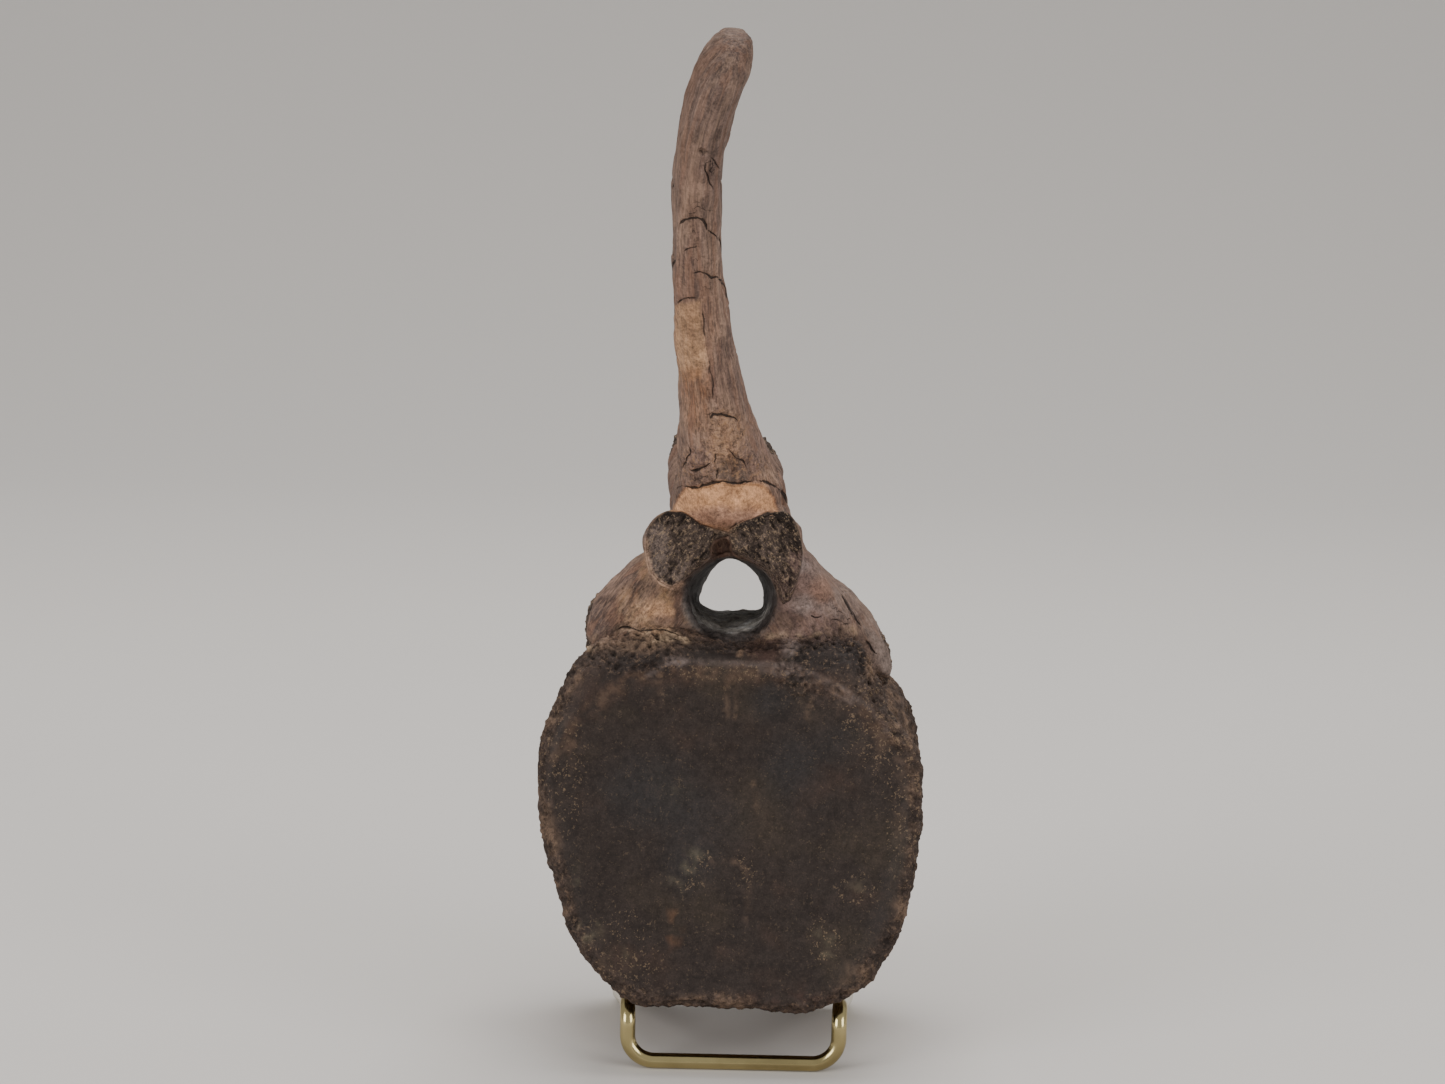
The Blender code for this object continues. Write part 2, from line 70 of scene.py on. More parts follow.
RIDGE_SHARE = (
    (-90, 0.93), (-20, 0.93), (31, 0.95), (52, 0.82), (76, 0.83), (109, 0.81), (145, 0.87),
    (162, 0.90), (210, 0.93),
)
RIDGE_HEIGHT = 0.9
DISH_DEPTH = 3.6
RIM_BEVEL = 3.0
SHOULDER_SET_BACK = 4.0

# Shares of a dish's radius, and of the way from the rear rim to the front one, that have a ring
DISH_STEPS = (0.06, 0.3, 0.55, 0.75, 0.9)
SIDE_STEPS = (0.0, 0.05, 0.11, 0.18, 0.27, 0.38, 0.5, 0.62, 0.73, 0.82, 0.89, 0.95, 1.0)

# Neural arch: height, middle x and y, half width, half length
ARCH = (
    (34, 0, 34, 31, 27), (46, 0, 34, 27.5, 26), (54, 0, 33.5, 23.5, 24), (62, 0, 33, 20.5, 23),
    (70, 0, 33, 19, 24), (78, 0, 33, 18.2, 26), (85, 0, 32, 16.6, 26), (91, 0, 31, 14, 23),
    (96, 0, 29, 9, 16),
)
ARCH_SQUARENESS = 2.7

# Broken transverse processes: distance to the side, middle z, middle y, half height, half length
LEFT_STUB = (
    (12, 62, 33, 17, 21), (22, 60.5, 33, 15.5, 18), (30, 57.5, 33, 13.2, 14.5),
    (35.4, 54.5, 32, 10.6, 12), (38.8, 52.6, 31.5, 8.6, 10.5), (40.2, 52, 31.5, 7, 9),
)
RIGHT_STUB = (
    (12, 63, 32, 17.5, 27), (20, 60.3, 33, 16.2, 23.5), (28, 55.6, 34, 12.8, 18.5),
    (35, 51.4, 35, 11.6, 15), (39.6, 47.8, 36, 10.2, 12.5), (42.8, 45, 36, 7.8, 10.5),
    (44.8, 43, 36, 5.2, 8),
)
STUB_SQUARENESS = 2.5

# Broken faces of the rear zygapophyses: x and z of their outlines
LEFT_FACET = (
    (-24, 77), (-21.4, 82.4), (-17.2, 84.9), (-12.5, 84.8), (-9, 82), (-3.4, 80.4), (1, 79), (-3, 77.4),
    (-4.9, 75), (-5.3, 71.6), (-11.2, 67.3), (-16.2, 63.6), (-20.2, 65.4), (-23.2, 70.6),
)
RIGHT_FACET = (
    (-1.4, 78.6), (0.4, 80.8), (4, 82.4), (9.7, 84.8), (15.2, 84.8), (18.6, 79.6), (19.6, 74.8),
    (19, 68), (16.4, 62.4), (14.7, 60), (12.6, 62.6), (9.2, 67.6), (3.8, 71), (0.6, 73), (0, 76),
)

# Stations of the facets from the face to the root: y, share of the outline's size
FACET_STATIONS = ((-3.0, 0.93), (-2.5, 0.99), (-1.0, 1.0), (4.0, 0.97), (9.0, 0.9), (18.0, 0.8))

# Flank that joins the right facet to its stub: height, middle x and y, half width, half length
RIGHT_FLANK = (
    (50, 18, 24, 18, 18), (58, 18, 23, 16, 19), (64, 18, 22, 12, 20), (70, 17, 21, 8, 21.5),
    (76, 14, 20.5, 6.6, 22), (82, 12, 21, 6.4, 21.5), (86, 10, 24, 3.5, 14),
)
FLANK_SQUARENESS = 2.5

# Front zygapophyses: x, y, z and half thickness along each stump
LEFT_PRONG = (
    (-8, 42, 78, 12), (-9.6, 50, 86, 10.4), (-11.9, 57, 95, 8.4), (-13, 62, 102, 7.4),
    (-12.4, 64.5, 109, 5.4), (-11.8, 65.8, 113.4, 3),
)
RIGHT_PRONG = (
    (8, 42, 78, 12), (9, 50, 86, 10.4), (9.8, 57, 94, 8.6), (9.6, 62, 101, 7.4),
    (8.4, 64.5, 106.5, 5), (7.8, 65.5, 109, 2.8),
)

# Neural spine: lean, y and z of its root, and by distance along it its middle x, half width and half
# depth; its front side is narrower by the keel's share
SPINE_LEAN = math.radians(40.0)
SPINE_ROOT = (31.0, 78.0)
SPINE = (
    (-6, 0.5, 17, 20), (8, 0.3, 16.6, 18.5), (17, -0.4, 15.4, 17), (24, -1, 14.2, 16),
    (33, -2.4, 12.2, 15), (47, -4.4, 9.6, 13.8), (60, -5.9, 8.1, 13), (73, -7.1, 7.5, 12.4),
    (87, -8.3, 6.9, 12), (103, -8.8, 6.5, 11.8), (116, -8.7, 6.6, 12), (128, -7.8, 6.3, 12.4),
    (138, -6.1, 6.7, 12.8), (147, -3.7, 6.8, 12.8), (154, -1.4, 6.6, 12), (157.4, -0.1, 5.6, 10.2),
    (159.6, 0.8, 4.4, 7.4), (160.8, 1.1, 2.6, 4.4),
)
SPINE_KEEL = 0.28

# Neural canal: x and z of its rear and front mouths
CANAL_REAR = (
    (-12.7, 63), (-11.4, 57.8), (-8, 52.2), (-2, 50), (4, 50.4), (9.4, 53.6), (12.3, 60), (11.6, 66.4),
    (6.4, 70.4), (0.4, 72.8), (-5.6, 71), (-10.6, 68),
)
CANAL_FRONT = (
    (-8.9, 63.6), (-8.9, 61), (-6, 59.4), (-2, 58.9), (3, 58.8), (8.4, 59.4), (9.1, 62.4), (8, 67.7),
    (4.5, 71.5), (-0.9, 74), (-5.5, 70.8), (-8, 66.6),
)

# Stations of the canal: y, share of the way to the front outline, size
CANAL_STATIONS = (
    (-20, 0, 1.12), (0, 0, 1.1), (6, 0, 1.0), (14, 0.3, 1.0), (26, 0.62, 1.0), (40, 0.88, 1.0),
    (54, 1.0, 1.0), (62, 1.0, 1.1), (95, 1.0, 1.25),
)

# The oval that holds the canal's walls: height of its middle, half width and half height
CANAL_MIDDLE_Z = 61.5
CANAL_REACH = (13.5, 12.5)

# Heights between which a part of the bone gives way to the next
CENTRUM_TOP = (50, 60)
BAND_START = (77, 80)
STREAK_START = (84, 87)
SPINE_START = (84, 88)
ARCH_TOP = (88, 92)

# Grain: length over width of the fibres of the spine and of the arch, cosine and sine of the arch's
# slant, and how its grain is drawn out again for the broken faces
SPINE_FIBRE = 12
ARCH_FIBRE = 5
ARCH_SLANT = (0.82, 0.57)
BREAK_SLANT = (1.0, 1.0, 2.2)

# Wire stand: middle x, thickness, places of its bends, radii of the bends, gap kept to the bone
STAND_X = 1.0
WIRE = 4.2
POST_X = 28.7
POST_Y = -28.3
BEND_Z = 18.3
ELBOW_X = 33.0
ELBOW_Y = 36.9
BACK_TOP_X = 31.0
BACK_TOP_Z = 80.0
FLOOR_CORNER = 7.2
POST_CORNER = 5.0
ELBOW_CORNER = 7.0
TOP_CORNER = 9.0
WIRE_CLEARANCE = 0.12

# Fineness of the meshes
FUSE_VOXEL = 0.95
FINE_VOXEL = 0.52
BONE_TRIANGLES = 195000
WIRE_SIDES = 36

# Millimetres: depth of small pits that counts as fully hollow, a distance that is far from every
# crack, and the most that counts inside or outside a break
HOLLOW_DEPTH = 0.7
FAR_OFF = 5.0
BREAK_REACH = 4.0

# Share of a crack's half width in the picture that is open
CRACK_SHARE = 0.58

# Points that are measured against the whole wire at once
BATCH = 4000

# Camera and picture
PICTURE = (1445, 1084)
LENS, SENSOR = 85.0, 36.0
CAMERA_AT = (-4.83, -923.6, 283.7)
CAMERA_DOWN = math.radians(8.8)
CAMERA_ROLL = math.radians(1.25)
MM_PER_PIXEL = 0.27

# Sweep in metres: half width, wall, radius of the bend between them, height
SWEEP_REACH = 4.0
SWEEP_WALL_Y = 2.8
SWEEP_RADIUS = 1.7
SWEEP_TOP = 4.0

# Lamps: name, place, the point that each faces, side of its square, in metres, and power in watts
LAMPS = (
    ("overhead", (0.1, 0.45, 1.5), (0, 0, 0.1), 1.0, 16),
    ("left_front", (-1.3, -1.2, 0.55), (0, 0, 0.02), 0.9, 18),
    ("right_front", (1.35, -1.0, 0.5), (0, 0, 0.02), 0.9, 12),
)
ROOM_TINT = (1.0, 0.985, 0.965, 1)
ROOM_LIGHT = 0.6

BONE_PLACE = (
    Matrix.Translation(BONE_AT) @ Matrix.Rotation(-SIDEWAYS, 4, "Y") @ Matrix.Rotation(-TILT, 4, "X")
)
CAMERA_PLACE = (
    Matrix.Translation(CAMERA_AT)
    @ Matrix.Rotation(math.pi / 2 - CAMERA_DOWN, 4, "X")
    @ Matrix.Rotation(CAMERA_ROLL, 4, "Z")
)


# Curves and fields


def rise(value, low, high):
    """0 below low, 1 above high, 3t^2 - 2t^3 between."""
    t = np.clip((value - low) / (high - low), 0, 1)
    return t * t * (3 - 2 * t)


def curve_through(pairs, at, period=None):
    """Cubic Hermite curve through (key, value, ...) rows, each slope the mean of its neighbours'."""
    rows = np.array(pairs, float)
    if period:
        turn = np.zeros(rows.shape[1])
        turn[0] = period
        rows = np.concatenate([rows[-3:] - turn, rows, rows[:3] + turn])
    keys, values = rows[:, 0], rows[:, 1:]
    slopes = np.gradient(values, keys, axis=0)
    at = np.asarray(at, float)
    i = np.clip(np.searchsorted(keys, at, side="right") - 1, 0, len(keys) - 2)
    width = (keys[i + 1] - keys[i])[..., None]
    t = ((at - keys[i]) / (keys[i + 1] - keys[i]))[..., None]
    return (
        (2 * t**3 - 3 * t**2 + 1) * values[i]
        + (t**3 - 2 * t**2 + t) * width * slopes[i]
        + (3 * t**2 - 2 * t**3) * values[i + 1]
        + (t**3 - t**2) * width * slopes[i + 1]
    )


def by_angle(table, degrees):
    """A value given by angle round the centrum, at any angle."""
    start = table[0][0]
    return curve_through(table, (degrees - start) % 360 + start, 360)[..., 0]


def closed_outline(points, count):
    """Count points on a smooth closed curve through the given ones."""
    rows = [(i, *point) for i, point in enumerate(points)]
    return curve_through(rows, np.linspace(0, len(points), count, endpoint=False), len(points))


def hashed(cells, seed):
    """A repeatable number from 0 to 1 for each row of three whole numbers."""
    mixed = cells @ np.array([73856093, 19349663, 83492791]) + seed * 2654435761
    mixed = ((mixed ^ (mixed >> 15)) * 2246822519) & 0xFFFFFFFF
    mixed = ((mixed ^ (mixed >> 13)) * 3266489917) & 0xFFFFFFFF
    return ((mixed ^ (mixed >> 16)) & 0xFFFFFF) / 0xFFFFFF


def cube_of(steps):
    """All rows of three of these whole numbers."""
    return np.array([(i, j, k) for i in steps for j in steps for k in steps])


def gradient_noise(points, seed):
    """Slopes at the corners of each unit cell, blended by 6t^5 - 15t^4 + 10t^3: about -1 to 1."""
    cell = np.floor(points).astype(np.int64)
    t = points - cell
    blend = t**3 * (t * (6 * t - 15) + 10)
    total = np.zeros(len(points))
    for corner in cube_of((0, 1)):
        weight = np.prod(np.where(corner, blend, 1 - blend), axis=1)
        for axis in range(3):
            slope = 2 * hashed(cell + corner, seed + 57 * axis) - 1
            total += weight * slope * (t[:, axis] - corner[axis])
    return 1.6 * total


def lumps(points, size, seed, octaves=3, keep=0.5):
    """Gradient noise of this size and of its halves, each octave keeping that share of the last."""
    total = np.zeros(len(points))
    for octave in range(octaves):
        total += keep**octave * gradient_noise(points / size * 2**octave + 17.3 * octave, seed + octave)
    return total


def nearest_cells(points, size, seed):
    """Distances, in cell sizes, to the nearest and second nearest of one random spot per cell."""
    spots = points / size
    cell = np.floor(spots).astype(np.int64)
    first = np.full(len(points), 9.0)
    second = first.copy()
    for offset in cube_of((-1, 0, 1)):
        other = cell + offset
        centre = other + np.stack([hashed(other, seed + 31 * axis) for axis in range(3)], axis=1)
        away = np.linalg.norm(spots - centre, axis=1)
        second = np.minimum(second, np.maximum(first, away))
        first = np.minimum(first, away)
    return first, second


def pits(points, size, seed):
    """1 in the middle of each round pit, 0 on the walls between."""
    first, second = nearest_cells(points, size, seed)
    return rise(second - first, 0.05, 0.5)


def ridges(points, size, seed, octaves=4):
    """Sharp crests where gradient noise passes 0: the sum of 0.55^n (0.35 - 1.4 |noise|)."""
    total = np.zeros(len(points))
    for octave in range(octaves):
        noise = gradient_noise(points / size * 2**octave + 11.1 * octave, seed + octave)
        total += 0.55**octave * (0.35 - 1.4 * abs(noise))
    return total


def oval(angle, squareness):
    """Cosine and sine of a rounded box: 2 is an ellipse, more is squarer."""
    c, s = np.cos(angle), np.sin(angle)
    return np.sign(c) * abs(c) ** (2 / squareness), np.sign(s) * abs(s) ** (2 / squareness)


def angles(count):
    """Angles all the way round, from 0."""
    return np.linspace(0, 2 * np.pi, count, endpoint=False)


# Places in the picture


def carried(matrix, points):
    """Points turned and moved by a matrix."""
    matrix = np.array(matrix)
    return points @ matrix[:3, :3].T + matrix[:3, 3]


def view_places(points):
    """The pixels where points of the bone show: camera coordinates over their depth."""
    seen = carried(CAMERA_PLACE.inverted() @ BONE_PLACE, points)
    focal = LENS / SENSOR * PICTURE[0]
    over = focal / -seen[:, 2]
    return np.stack([PICTURE[0] / 2 + over * seen[:, 0], PICTURE[1] / 2 - over * seen[:, 1]], axis=1)


def towards_camera(points, normals):
    """Cosine between each normal and the way to the camera."""
    eye = np.array((BONE_PLACE.inverted() @ CAMERA_PLACE).translation)
    way = eye - points
    return np.einsum("ij,ij->i", normals, way / np.linalg.norm(way, axis=1)[:, None])


def to_line(places, line):
    """Distance to a bent line, side of it (signed), and how far along it, from 0 to 1."""
    line = np.array(line, float)
    lengths = np.linalg.norm(np.diff(line, axis=0), axis=1)
    starts = np.concatenate([[0], np.cumsum(lengths)]) / lengths.sum()
    best = np.full(len(places), 1e9)
    side = np.zeros(len(places))
    share = np.zeros(len(places))
    for i, (a, b) in enumerate(zip(line, line[1:])):
        run = b - a
        t = np.clip((places - a) @ run / lengths[i] ** 2, 0, 1)
        offset = places - (a + t[:, None] * run)
        away = np.linalg.norm(offset, axis=1)
        closer = away < best
        turn = np.sign(run[0] * offset[:, 1] - run[1] * offset[:, 0])
        best = np.where(closer, away, best)
        side = np.where(closer, turn * away, side)
        share = np.where(closer, starts[i] + t * (starts[i + 1] - starts[i]), share)
    return best, side, share


def inside(places, outline):
    """How far each place lies inside a closed outline, in pixels; outside is negative."""
    outline = np.array(outline, float)
    closed = np.concatenate([outline, outline[:1]])
    away, _, _ = to_line(places, closed)
    within = np.zeros(len(places), bool)
    x, y = places[:, 0], places[:, 1]
    for (ax, ay), (bx, by) in zip(closed, closed[1:]):
        if ay == by:
            continue
        crosses = (ay > y) != (by > y)
        within ^= crosses & (x < ax + (y - ay) * (bx - ax) / (by - ay))
    return np.where(within, away, -away)


def spot(places, centre, reach, soft=0.5):
    """1 in an ellipse round centre, falling to 0 from 1 - soft/2 to 1 + soft/2 of its reach."""
    away = np.linalg.norm((places - np.array(centre)) / np.array(reach), axis=1)
    return 1 - rise(away, 1 - soft / 2, 1 + soft / 2)


def stroke(places, line, reach):
    """1 on a bent line, falling to 0 at reach pixels from it."""
    return 1 - rise(to_line(places, line)[0], 0.3 * reach, reach)


# Bodies of the bone, each a surface over two parameters


def grid_faces(rows, columns, closed_rows=False, closed_columns=False):
    """A four-sided face between each point of a grid and its next ones, which may close on itself."""
    i, j = np.meshgrid(
        np.arange(rows if closed_rows else rows - 1),
        np.arange(columns if closed_columns else columns - 1), indexing="ij",
    )
    n, k = (i + 1) % rows, (j + 1) % columns
    quads = [i * columns + j, i * columns + k, n * columns + k, n * columns + j]
    return np.stack(quads, axis=-1).reshape(-1, 4).tolist()


def lofted(rings):
    """Points and faces of the closed body through a (rings, around, 3) grid, a pole at each end."""
    rings = np.asarray(rings, float)
    count, around = rings.shape[:2]
    points = np.concatenate([rings.reshape(-1, 3), rings[[0, -1]].mean(axis=1)])
    quads = grid_faces(count, around, closed_columns=True)
    j = np.arange(around)
    k = (j + 1) % around
    last = (count - 1) * around
    start_cap = np.stack([k, j, np.full(around, count * around)], axis=1)
    end_cap = np.stack([last + j, last + k, np.full(around, count * around + 1)], axis=1)
    return points, quads + start_cap.tolist() + end_cap.tolist()


def centrum():
    """radius(angle, step) by y(step): dished face, ridge, bevelled rim, side drawn in by
    WAIST sin(pi t)^1.3 between the two rims, and the same again at the front."""
    angle = angles(192)
    degrees = np.degrees(angle)
    rear = by_angle(REAR_RIM, degrees)
    front = by_angle(FRONT_RIM, degrees)
    ridge = by_angle(RIDGE_SHARE, degrees)
    top = np.clip(np.sin(angle), 0, 1) ** 2
    c, s = np.cos(angle), np.sin(angle)

    def ring(radius, y):
        return np.stack([radius * c, np.broadcast_to(y, angle.shape), radius * s], axis=-1)

    def face(rim, share, y, outwards):
        rings = []
        for f in DISH_STEPS:
            rings.append(ring(rim * share * f, y - outwards * DISH_DEPTH * (1 - f**2)))
        rings.append(ring(rim * share, y + outwards * RIDGE_HEIGHT))
        rings.append(ring(rim * (0.55 * share + 0.45), y - outwards * 0.3))
        return rings

    rings = face(rear, ridge, 0.0, -1)
    for t in SIDE_STEPS:
        radius = rear + (front - rear) * t
        waist = 1 - WAIST * math.sin(math.pi * t) ** 1.3
        inner = RIM_BEVEL + (CENTRUM_LENGTH - 2 * RIM_BEVEL) * t
        rings.append(ring(radius * waist, inner + SHOULDER_SET_BACK * top * (1 - t)))
    rings.extend(reversed(face(front, np.full(angle.shape, 0.9), CENTRUM_LENGTH, 1)))
    return lofted(np.array(rings)[:, ::-1])


def stacked(table, squareness, around, steps):
    """Rounded boxes in x and y stacked upwards, their middles and sizes a curve of z."""
    c, s = oval(angles(around), squareness)
    z = np.linspace(table[0][0], table[-1][0], steps)[:, None]
    x, y, half_width, half_length = np.moveaxis(curve_through(table, z[:, 0]), -1, 0)[..., None]
    return lofted(np.stack([x + half_width * c, y + half_length * s, z + 0 * c], axis=-1))


def transverse_stub(table, side):
    """Rounded boxes in y and z carried sideways, their sizes and middles a curve of x."""
    c, s = oval(angles(72), STUB_SQUARENESS)
    x = np.linspace(table[0][0], table[-1][0], 30)[:, None]
    z, y, half_height, half_length = np.moveaxis(curve_through(table, x[:, 0]), -1, 0)[..., None]
    rings = np.stack([side * x + 0 * c, y + half_length * c, z + half_height * s], axis=-1)
    return lofted(rings[:, ::-side])


def outline_ring(edge, y, scale):
    """An outline of x and z set at y and scaled about its middle."""
    middle = edge.mean(axis=0)
    around = middle + (edge - middle) * scale
    return np.stack([around[:, 0], np.full(len(edge), y), around[:, 1]], axis=-1)


def rear_zygapophysis(outline):
    """The facet's outline carried forwards in y and drawn in about its middle."""
    edge = closed_outline(outline, 96)
    return lofted([outline_ring(edge, y, scale) for y, scale in FACET_STATIONS])


def front_zygapophysis(table):
    """Ellipses of 0.72, 1.1 and 0.5 of the half thickness in x, y and z along a curved middle line."""
    rows = [(i, *row) for i, row in enumerate(table)]
    c, s = oval(angles(48), 2.2)
    steps = np.linspace(0, len(table) - 1, 26)
    x, y, z, thick = np.moveaxis(curve_through(rows, steps), -1, 0)[..., None]
    return lofted(np.stack([x + 0.72 * thick * c, y + 1.1 * thick * s, z + 0.5 * thick * s], axis=-1))


def spine():
    """Ovals along a leaning line, narrowed in front by SPINE_KEEL sin(angle)."""
    c, s = oval(angles(72), 2.2)
    lean_y, lean_z = -math.sin(SPINE_LEAN), math.cos(SPINE_LEAN)
    along = np.linspace(SPINE[0][0], SPINE[-1][0], 120)[:, None]
    x, half_width, half_depth = np.moveaxis(curve_through(SPINE, along[:, 0]), -1, 0)[..., None]
    narrowed = half_width * (1 - SPINE_KEEL * np.clip(s, 0, 1))
    y = SPINE_ROOT[0] + along * lean_y + half_depth * s * lean_z
    z = SPINE_ROOT[1] + along * lean_z - half_depth * s * lean_y
    return lofted(np.stack([x + narrowed * c, y, z], axis=-1))


def canal():
    """A tunnel whose outline goes from its rear mouth to its front one by share, and is scaled."""
    rear, front = closed_outline(CANAL_REAR, 80), closed_outline(CANAL_FRONT, 80)
    return lofted([
        outline_ring(rear + (front - rear) * share, y, scale) for y, share, scale in CANAL_STATIONS
    ])


# Meshes


def mesh_of(name, bodies):
    """One mesh in millimetres of several closed bodies."""
    points, faces = [], []
    for body_points, body_faces in bodies:
        start = sum(len(p) for p in points)
        points.append(body_points)
        faces.extend([[start + i for i in face] for face in body_faces])
    mesh = bpy.data.meshes.new(name)
    mesh.from_pydata(np.concatenate(points).tolist(), [], faces)
    mesh.validate()
    return mesh


def placed(name, data):
    """A new object of the scene that holds a mesh, a lamp or a camera."""
    item = bpy.data.objects.new(name, data)
    bpy.context.scene.collection.objects.link(item)
    return item


def finished(item):
    """The object's mesh with its modifiers carried out; the object goes."""
    bpy.context.view_layer.update()
    graph = bpy.context.evaluated_depsgraph_get()
    mesh = bpy.data.meshes.new_from_object(item.evaluated_get(graph))
    bpy.data.objects.remove(item)
    return mesh


def triples(items, name):
    """One property of all the items of a mesh, three numbers a row."""
    flat = np.empty(3 * len(items))
    items.foreach_get(name, flat)
    return flat.reshape(-1, 3)


def places_of(mesh):
    """The places of a mesh's points on the bone."""
    return Places(triples(mesh.vertices, "co"), triples(mesh.vertex_normals, "vector"))


def store(mesh, name, values, kind="FLOAT", slot="value"):
    """Values at the points of a mesh, kept under a name for its material."""
    made = mesh.attributes.new(name, kind, "POINT")
    made.data.foreach_set(slot, np.asarray(values, np.float32).ravel())


def remeshed(item, voxel):
    """All the object's bodies made one skin of even faces of this size."""
    grown = item.modifiers.new("fuse", "REMESH")
    grown.mode = "VOXEL"
    grown.voxel_size = voxel


def softened(item, rounds):
    """Each point moved half way to the middle of its neighbours, this many times."""
    soft = item.modifiers.new("soften", "SMOOTH")
    soft.factor = 0.5
    soft.iterations = rounds


def bare_bone():
    """All the bone's bodies grown together, the canal cut through, the joins softened."""
    blank = placed("blank", mesh_of("blank", [
        centrum(), stacked(ARCH, ARCH_SQUARENESS, 96, 40), transverse_stub(LEFT_STUB, -1),
        transverse_stub(RIGHT_STUB, 1), rear_zygapophysis(LEFT_FACET), rear_zygapophysis(RIGHT_FACET),
        stacked(RIGHT_FLANK, FLANK_SQUARENESS, 72, 30), front_zygapophysis(LEFT_PRONG),
        front_zygapophysis(RIGHT_PRONG), spine(),
    ]))
    cutter_points, cutter_faces = canal()
    cutter = placed("canal", mesh_of("canal", [(cutter_points, [f[::-1] for f in cutter_faces])]))
    remeshed(blank, FUSE_VOXEL)
    cut = blank.modifiers.new("canal", "BOOLEAN")
    cut.operation = "DIFFERENCE"
    cut.solver = "EXACT"
    cut.object = cutter
    softened(blank, 3)
    remeshed(blank, FINE_VOXEL)
    softened(blank, 5)
    mesh = finished(blank)
    bpy.data.objects.remove(cutter)
    return mesh


# Parts of the bone, as shares from 0 to 1 at each point


class Places:
    """Where each point of the bone lies: by its own frame, along the spine, and in the picture."""

    def __init__(self, points, normals):
        self.points = points
        self.normals = normals
        self.x, self.y, self.z = points.T
        self.seen = view_places(points)
        behind = rise(self.y, 30, 36) * rise(self.z, 76, 84)
        self.facing = rise(towards_camera(points, normals), 0.02, 0.25) * (1 - behind)
        degrees = np.degrees(np.arctan2(self.z, self.x))
        radius = np.hypot(self.x, self.z)
        self.rear_share = radius / by_angle(REAR_RIM, degrees)
        self.front_share = radius / by_angle(FRONT_RIM, degrees)
        self.centrum = 1 - rise(self.z, *CENTRUM_TOP)
        self.rear_face = self.centrum * (1 - rise(self.y, 3, 6)) * rise(-normals[:, 1], 0.2, 0.6)
        self.front_face = self.centrum * rise(self.y, 64, 67) * rise(normals[:, 1], 0.2, 0.6)
        lean = np.array([-math.sin(SPINE_LEAN), math.cos(SPINE_LEAN)])
        off_root = points[:, 1:] - np.array(SPINE_ROOT)
        self.along = off_root @ lean
        self.deep = off_root @ np.array([lean[1], -lean[0]])
        middle = curve_through(SPINE, np.clip(self.along, SPINE[0][0], SPINE[-1][0]))
        self.off_middle = self.x - middle[:, 0]
        near_axis = np.hypot(self.off_middle / middle[:, 1], self.deep / middle[:, 2])
        self.spine = rise(self.along, 2, 16) * (1 - rise(near_axis, 1.25, 1.5))
        off_canal = np.hypot(self.x / CANAL_REACH[0], (self.z - CANAL_MIDDLE_Z) / CANAL_REACH[1])
        self.canal = (1 - rise(off_canal, 0.9, 1.06)) * rise(self.y, 4, 9) * (1 - rise(self.y, 56, 62))
        self.spine_side = abs(self.off_middle) / middle[:, 1]
        self.fibre = np.where(self.spine[:, None] > 0.5, self.spine_fibre(), self.arch_fibre())

    def spine_fibre(self):
        """Across, through and along the spine, the last drawn out."""
        return np.stack([self.off_middle, self.deep, self.along / SPINE_FIBRE], axis=1)

    def arch_fibre(self):
        """Across, forwards and down the arch's slant, the last drawn out."""
        out = abs(self.x)
        c, s = ARCH_SLANT
        return np.stack([c * out + s * self.z, self.y, (s * out - c * self.z) / ARCH_FIBRE], axis=1)


# Colours, as the eye sees them, from 0 to 255


def colour(red, green, blue):
    """Linear colour of a red, green and blue from 0 to 255."""
    share = np.array([red, green, blue]) / 255
    return np.where(share <= 0.04045, share / 12.92, ((share + 0.055) / 1.055) ** 2.4)


SPINE_BROWN = colour(119, 95, 84)
SPINE_TAN = colour(158, 129, 110)
SPINE_GREY = colour(84, 70, 64)
STREAK_TAN = colour(170, 132, 97)
OCHRE = colour(126, 88, 62)
BAND_TAN = colour(202, 152, 112)
BAND_PINK = colour(176, 142, 128)
BREAK_GREY = colour(80, 68, 61)
BREAK_DARK = colour(46, 38, 34)
BREAK_TAN = colour(156, 133, 109)
FACE_DARK = colour(45, 38, 35)
FACE_OLIVE = colour(53, 45, 38)
FACE_RUST = colour(61, 47, 40)
FACE_BLUE = colour(42, 41, 42)
CRUST_GREY = colour(98, 90, 74)
FLECK_TAN = colour(122, 103, 82)
RIM_BROWN = colour(64, 53, 47)
RIM_TAN = colour(112, 91, 75)
SIDE_BROWN = colour(92, 75, 66)
SIDE_GREY = colour(112, 98, 91)
CANAL_GREY = colour(76, 71, 69)
CANAL_PALE = colour(166, 165, 164)
CANAL_DARK = colour(56, 50, 48)
PEDICLE_GOLD = colour(132, 103, 73)
PEDICLE_TAN = colour(166, 134, 106)
PEDICLE_MAUVE = colour(112, 90, 83)
RED_BROWN = colour(59, 44, 39)
SHOULDER_DARK = colour(44, 38, 36)
# Pink of dust, and of painted sheen and glints on the pedicle, shoulders and crests
DUST_AND_SHEEN_PINK = colour(126, 112, 107)
# Dark of the cracks, and painted shade in pits, furrows, gaps, hollows and under the shoulders' ledges
CRACK_AND_SHADE_DARK = colour(38, 31, 28)
SPINE_RED = colour(130, 95, 76)
# Dark red of the hollow over the canal, painted lighter to lift the shade in it
FOSSA_RED_AND_LIGHT = colour(82, 62, 55)
# Pale floor of the canal: partly a chalky crust, partly painted light reflected along the tunnel
CANAL_FLOOR_CRUST_AND_LIGHT = colour(158, 152, 145)
STUB_BROWN = colour(76, 61, 56)
FIBRE_BROWN = colour(88, 71, 64)
FIBRE_DARK = colour(66, 53, 48)
BRASS_PALE = colour(180, 166, 120)
BRASS_DEEP = colour(158, 144, 102)
BRASS_MARK = colour(150, 126, 76)
PAPER_PALE = colour(213, 208, 203)
PAPER_GREY = colour(209, 204, 199)
# Paper farther back, darker as painted shade
PAPER_FAR_SHADE = colour(206, 202, 198)
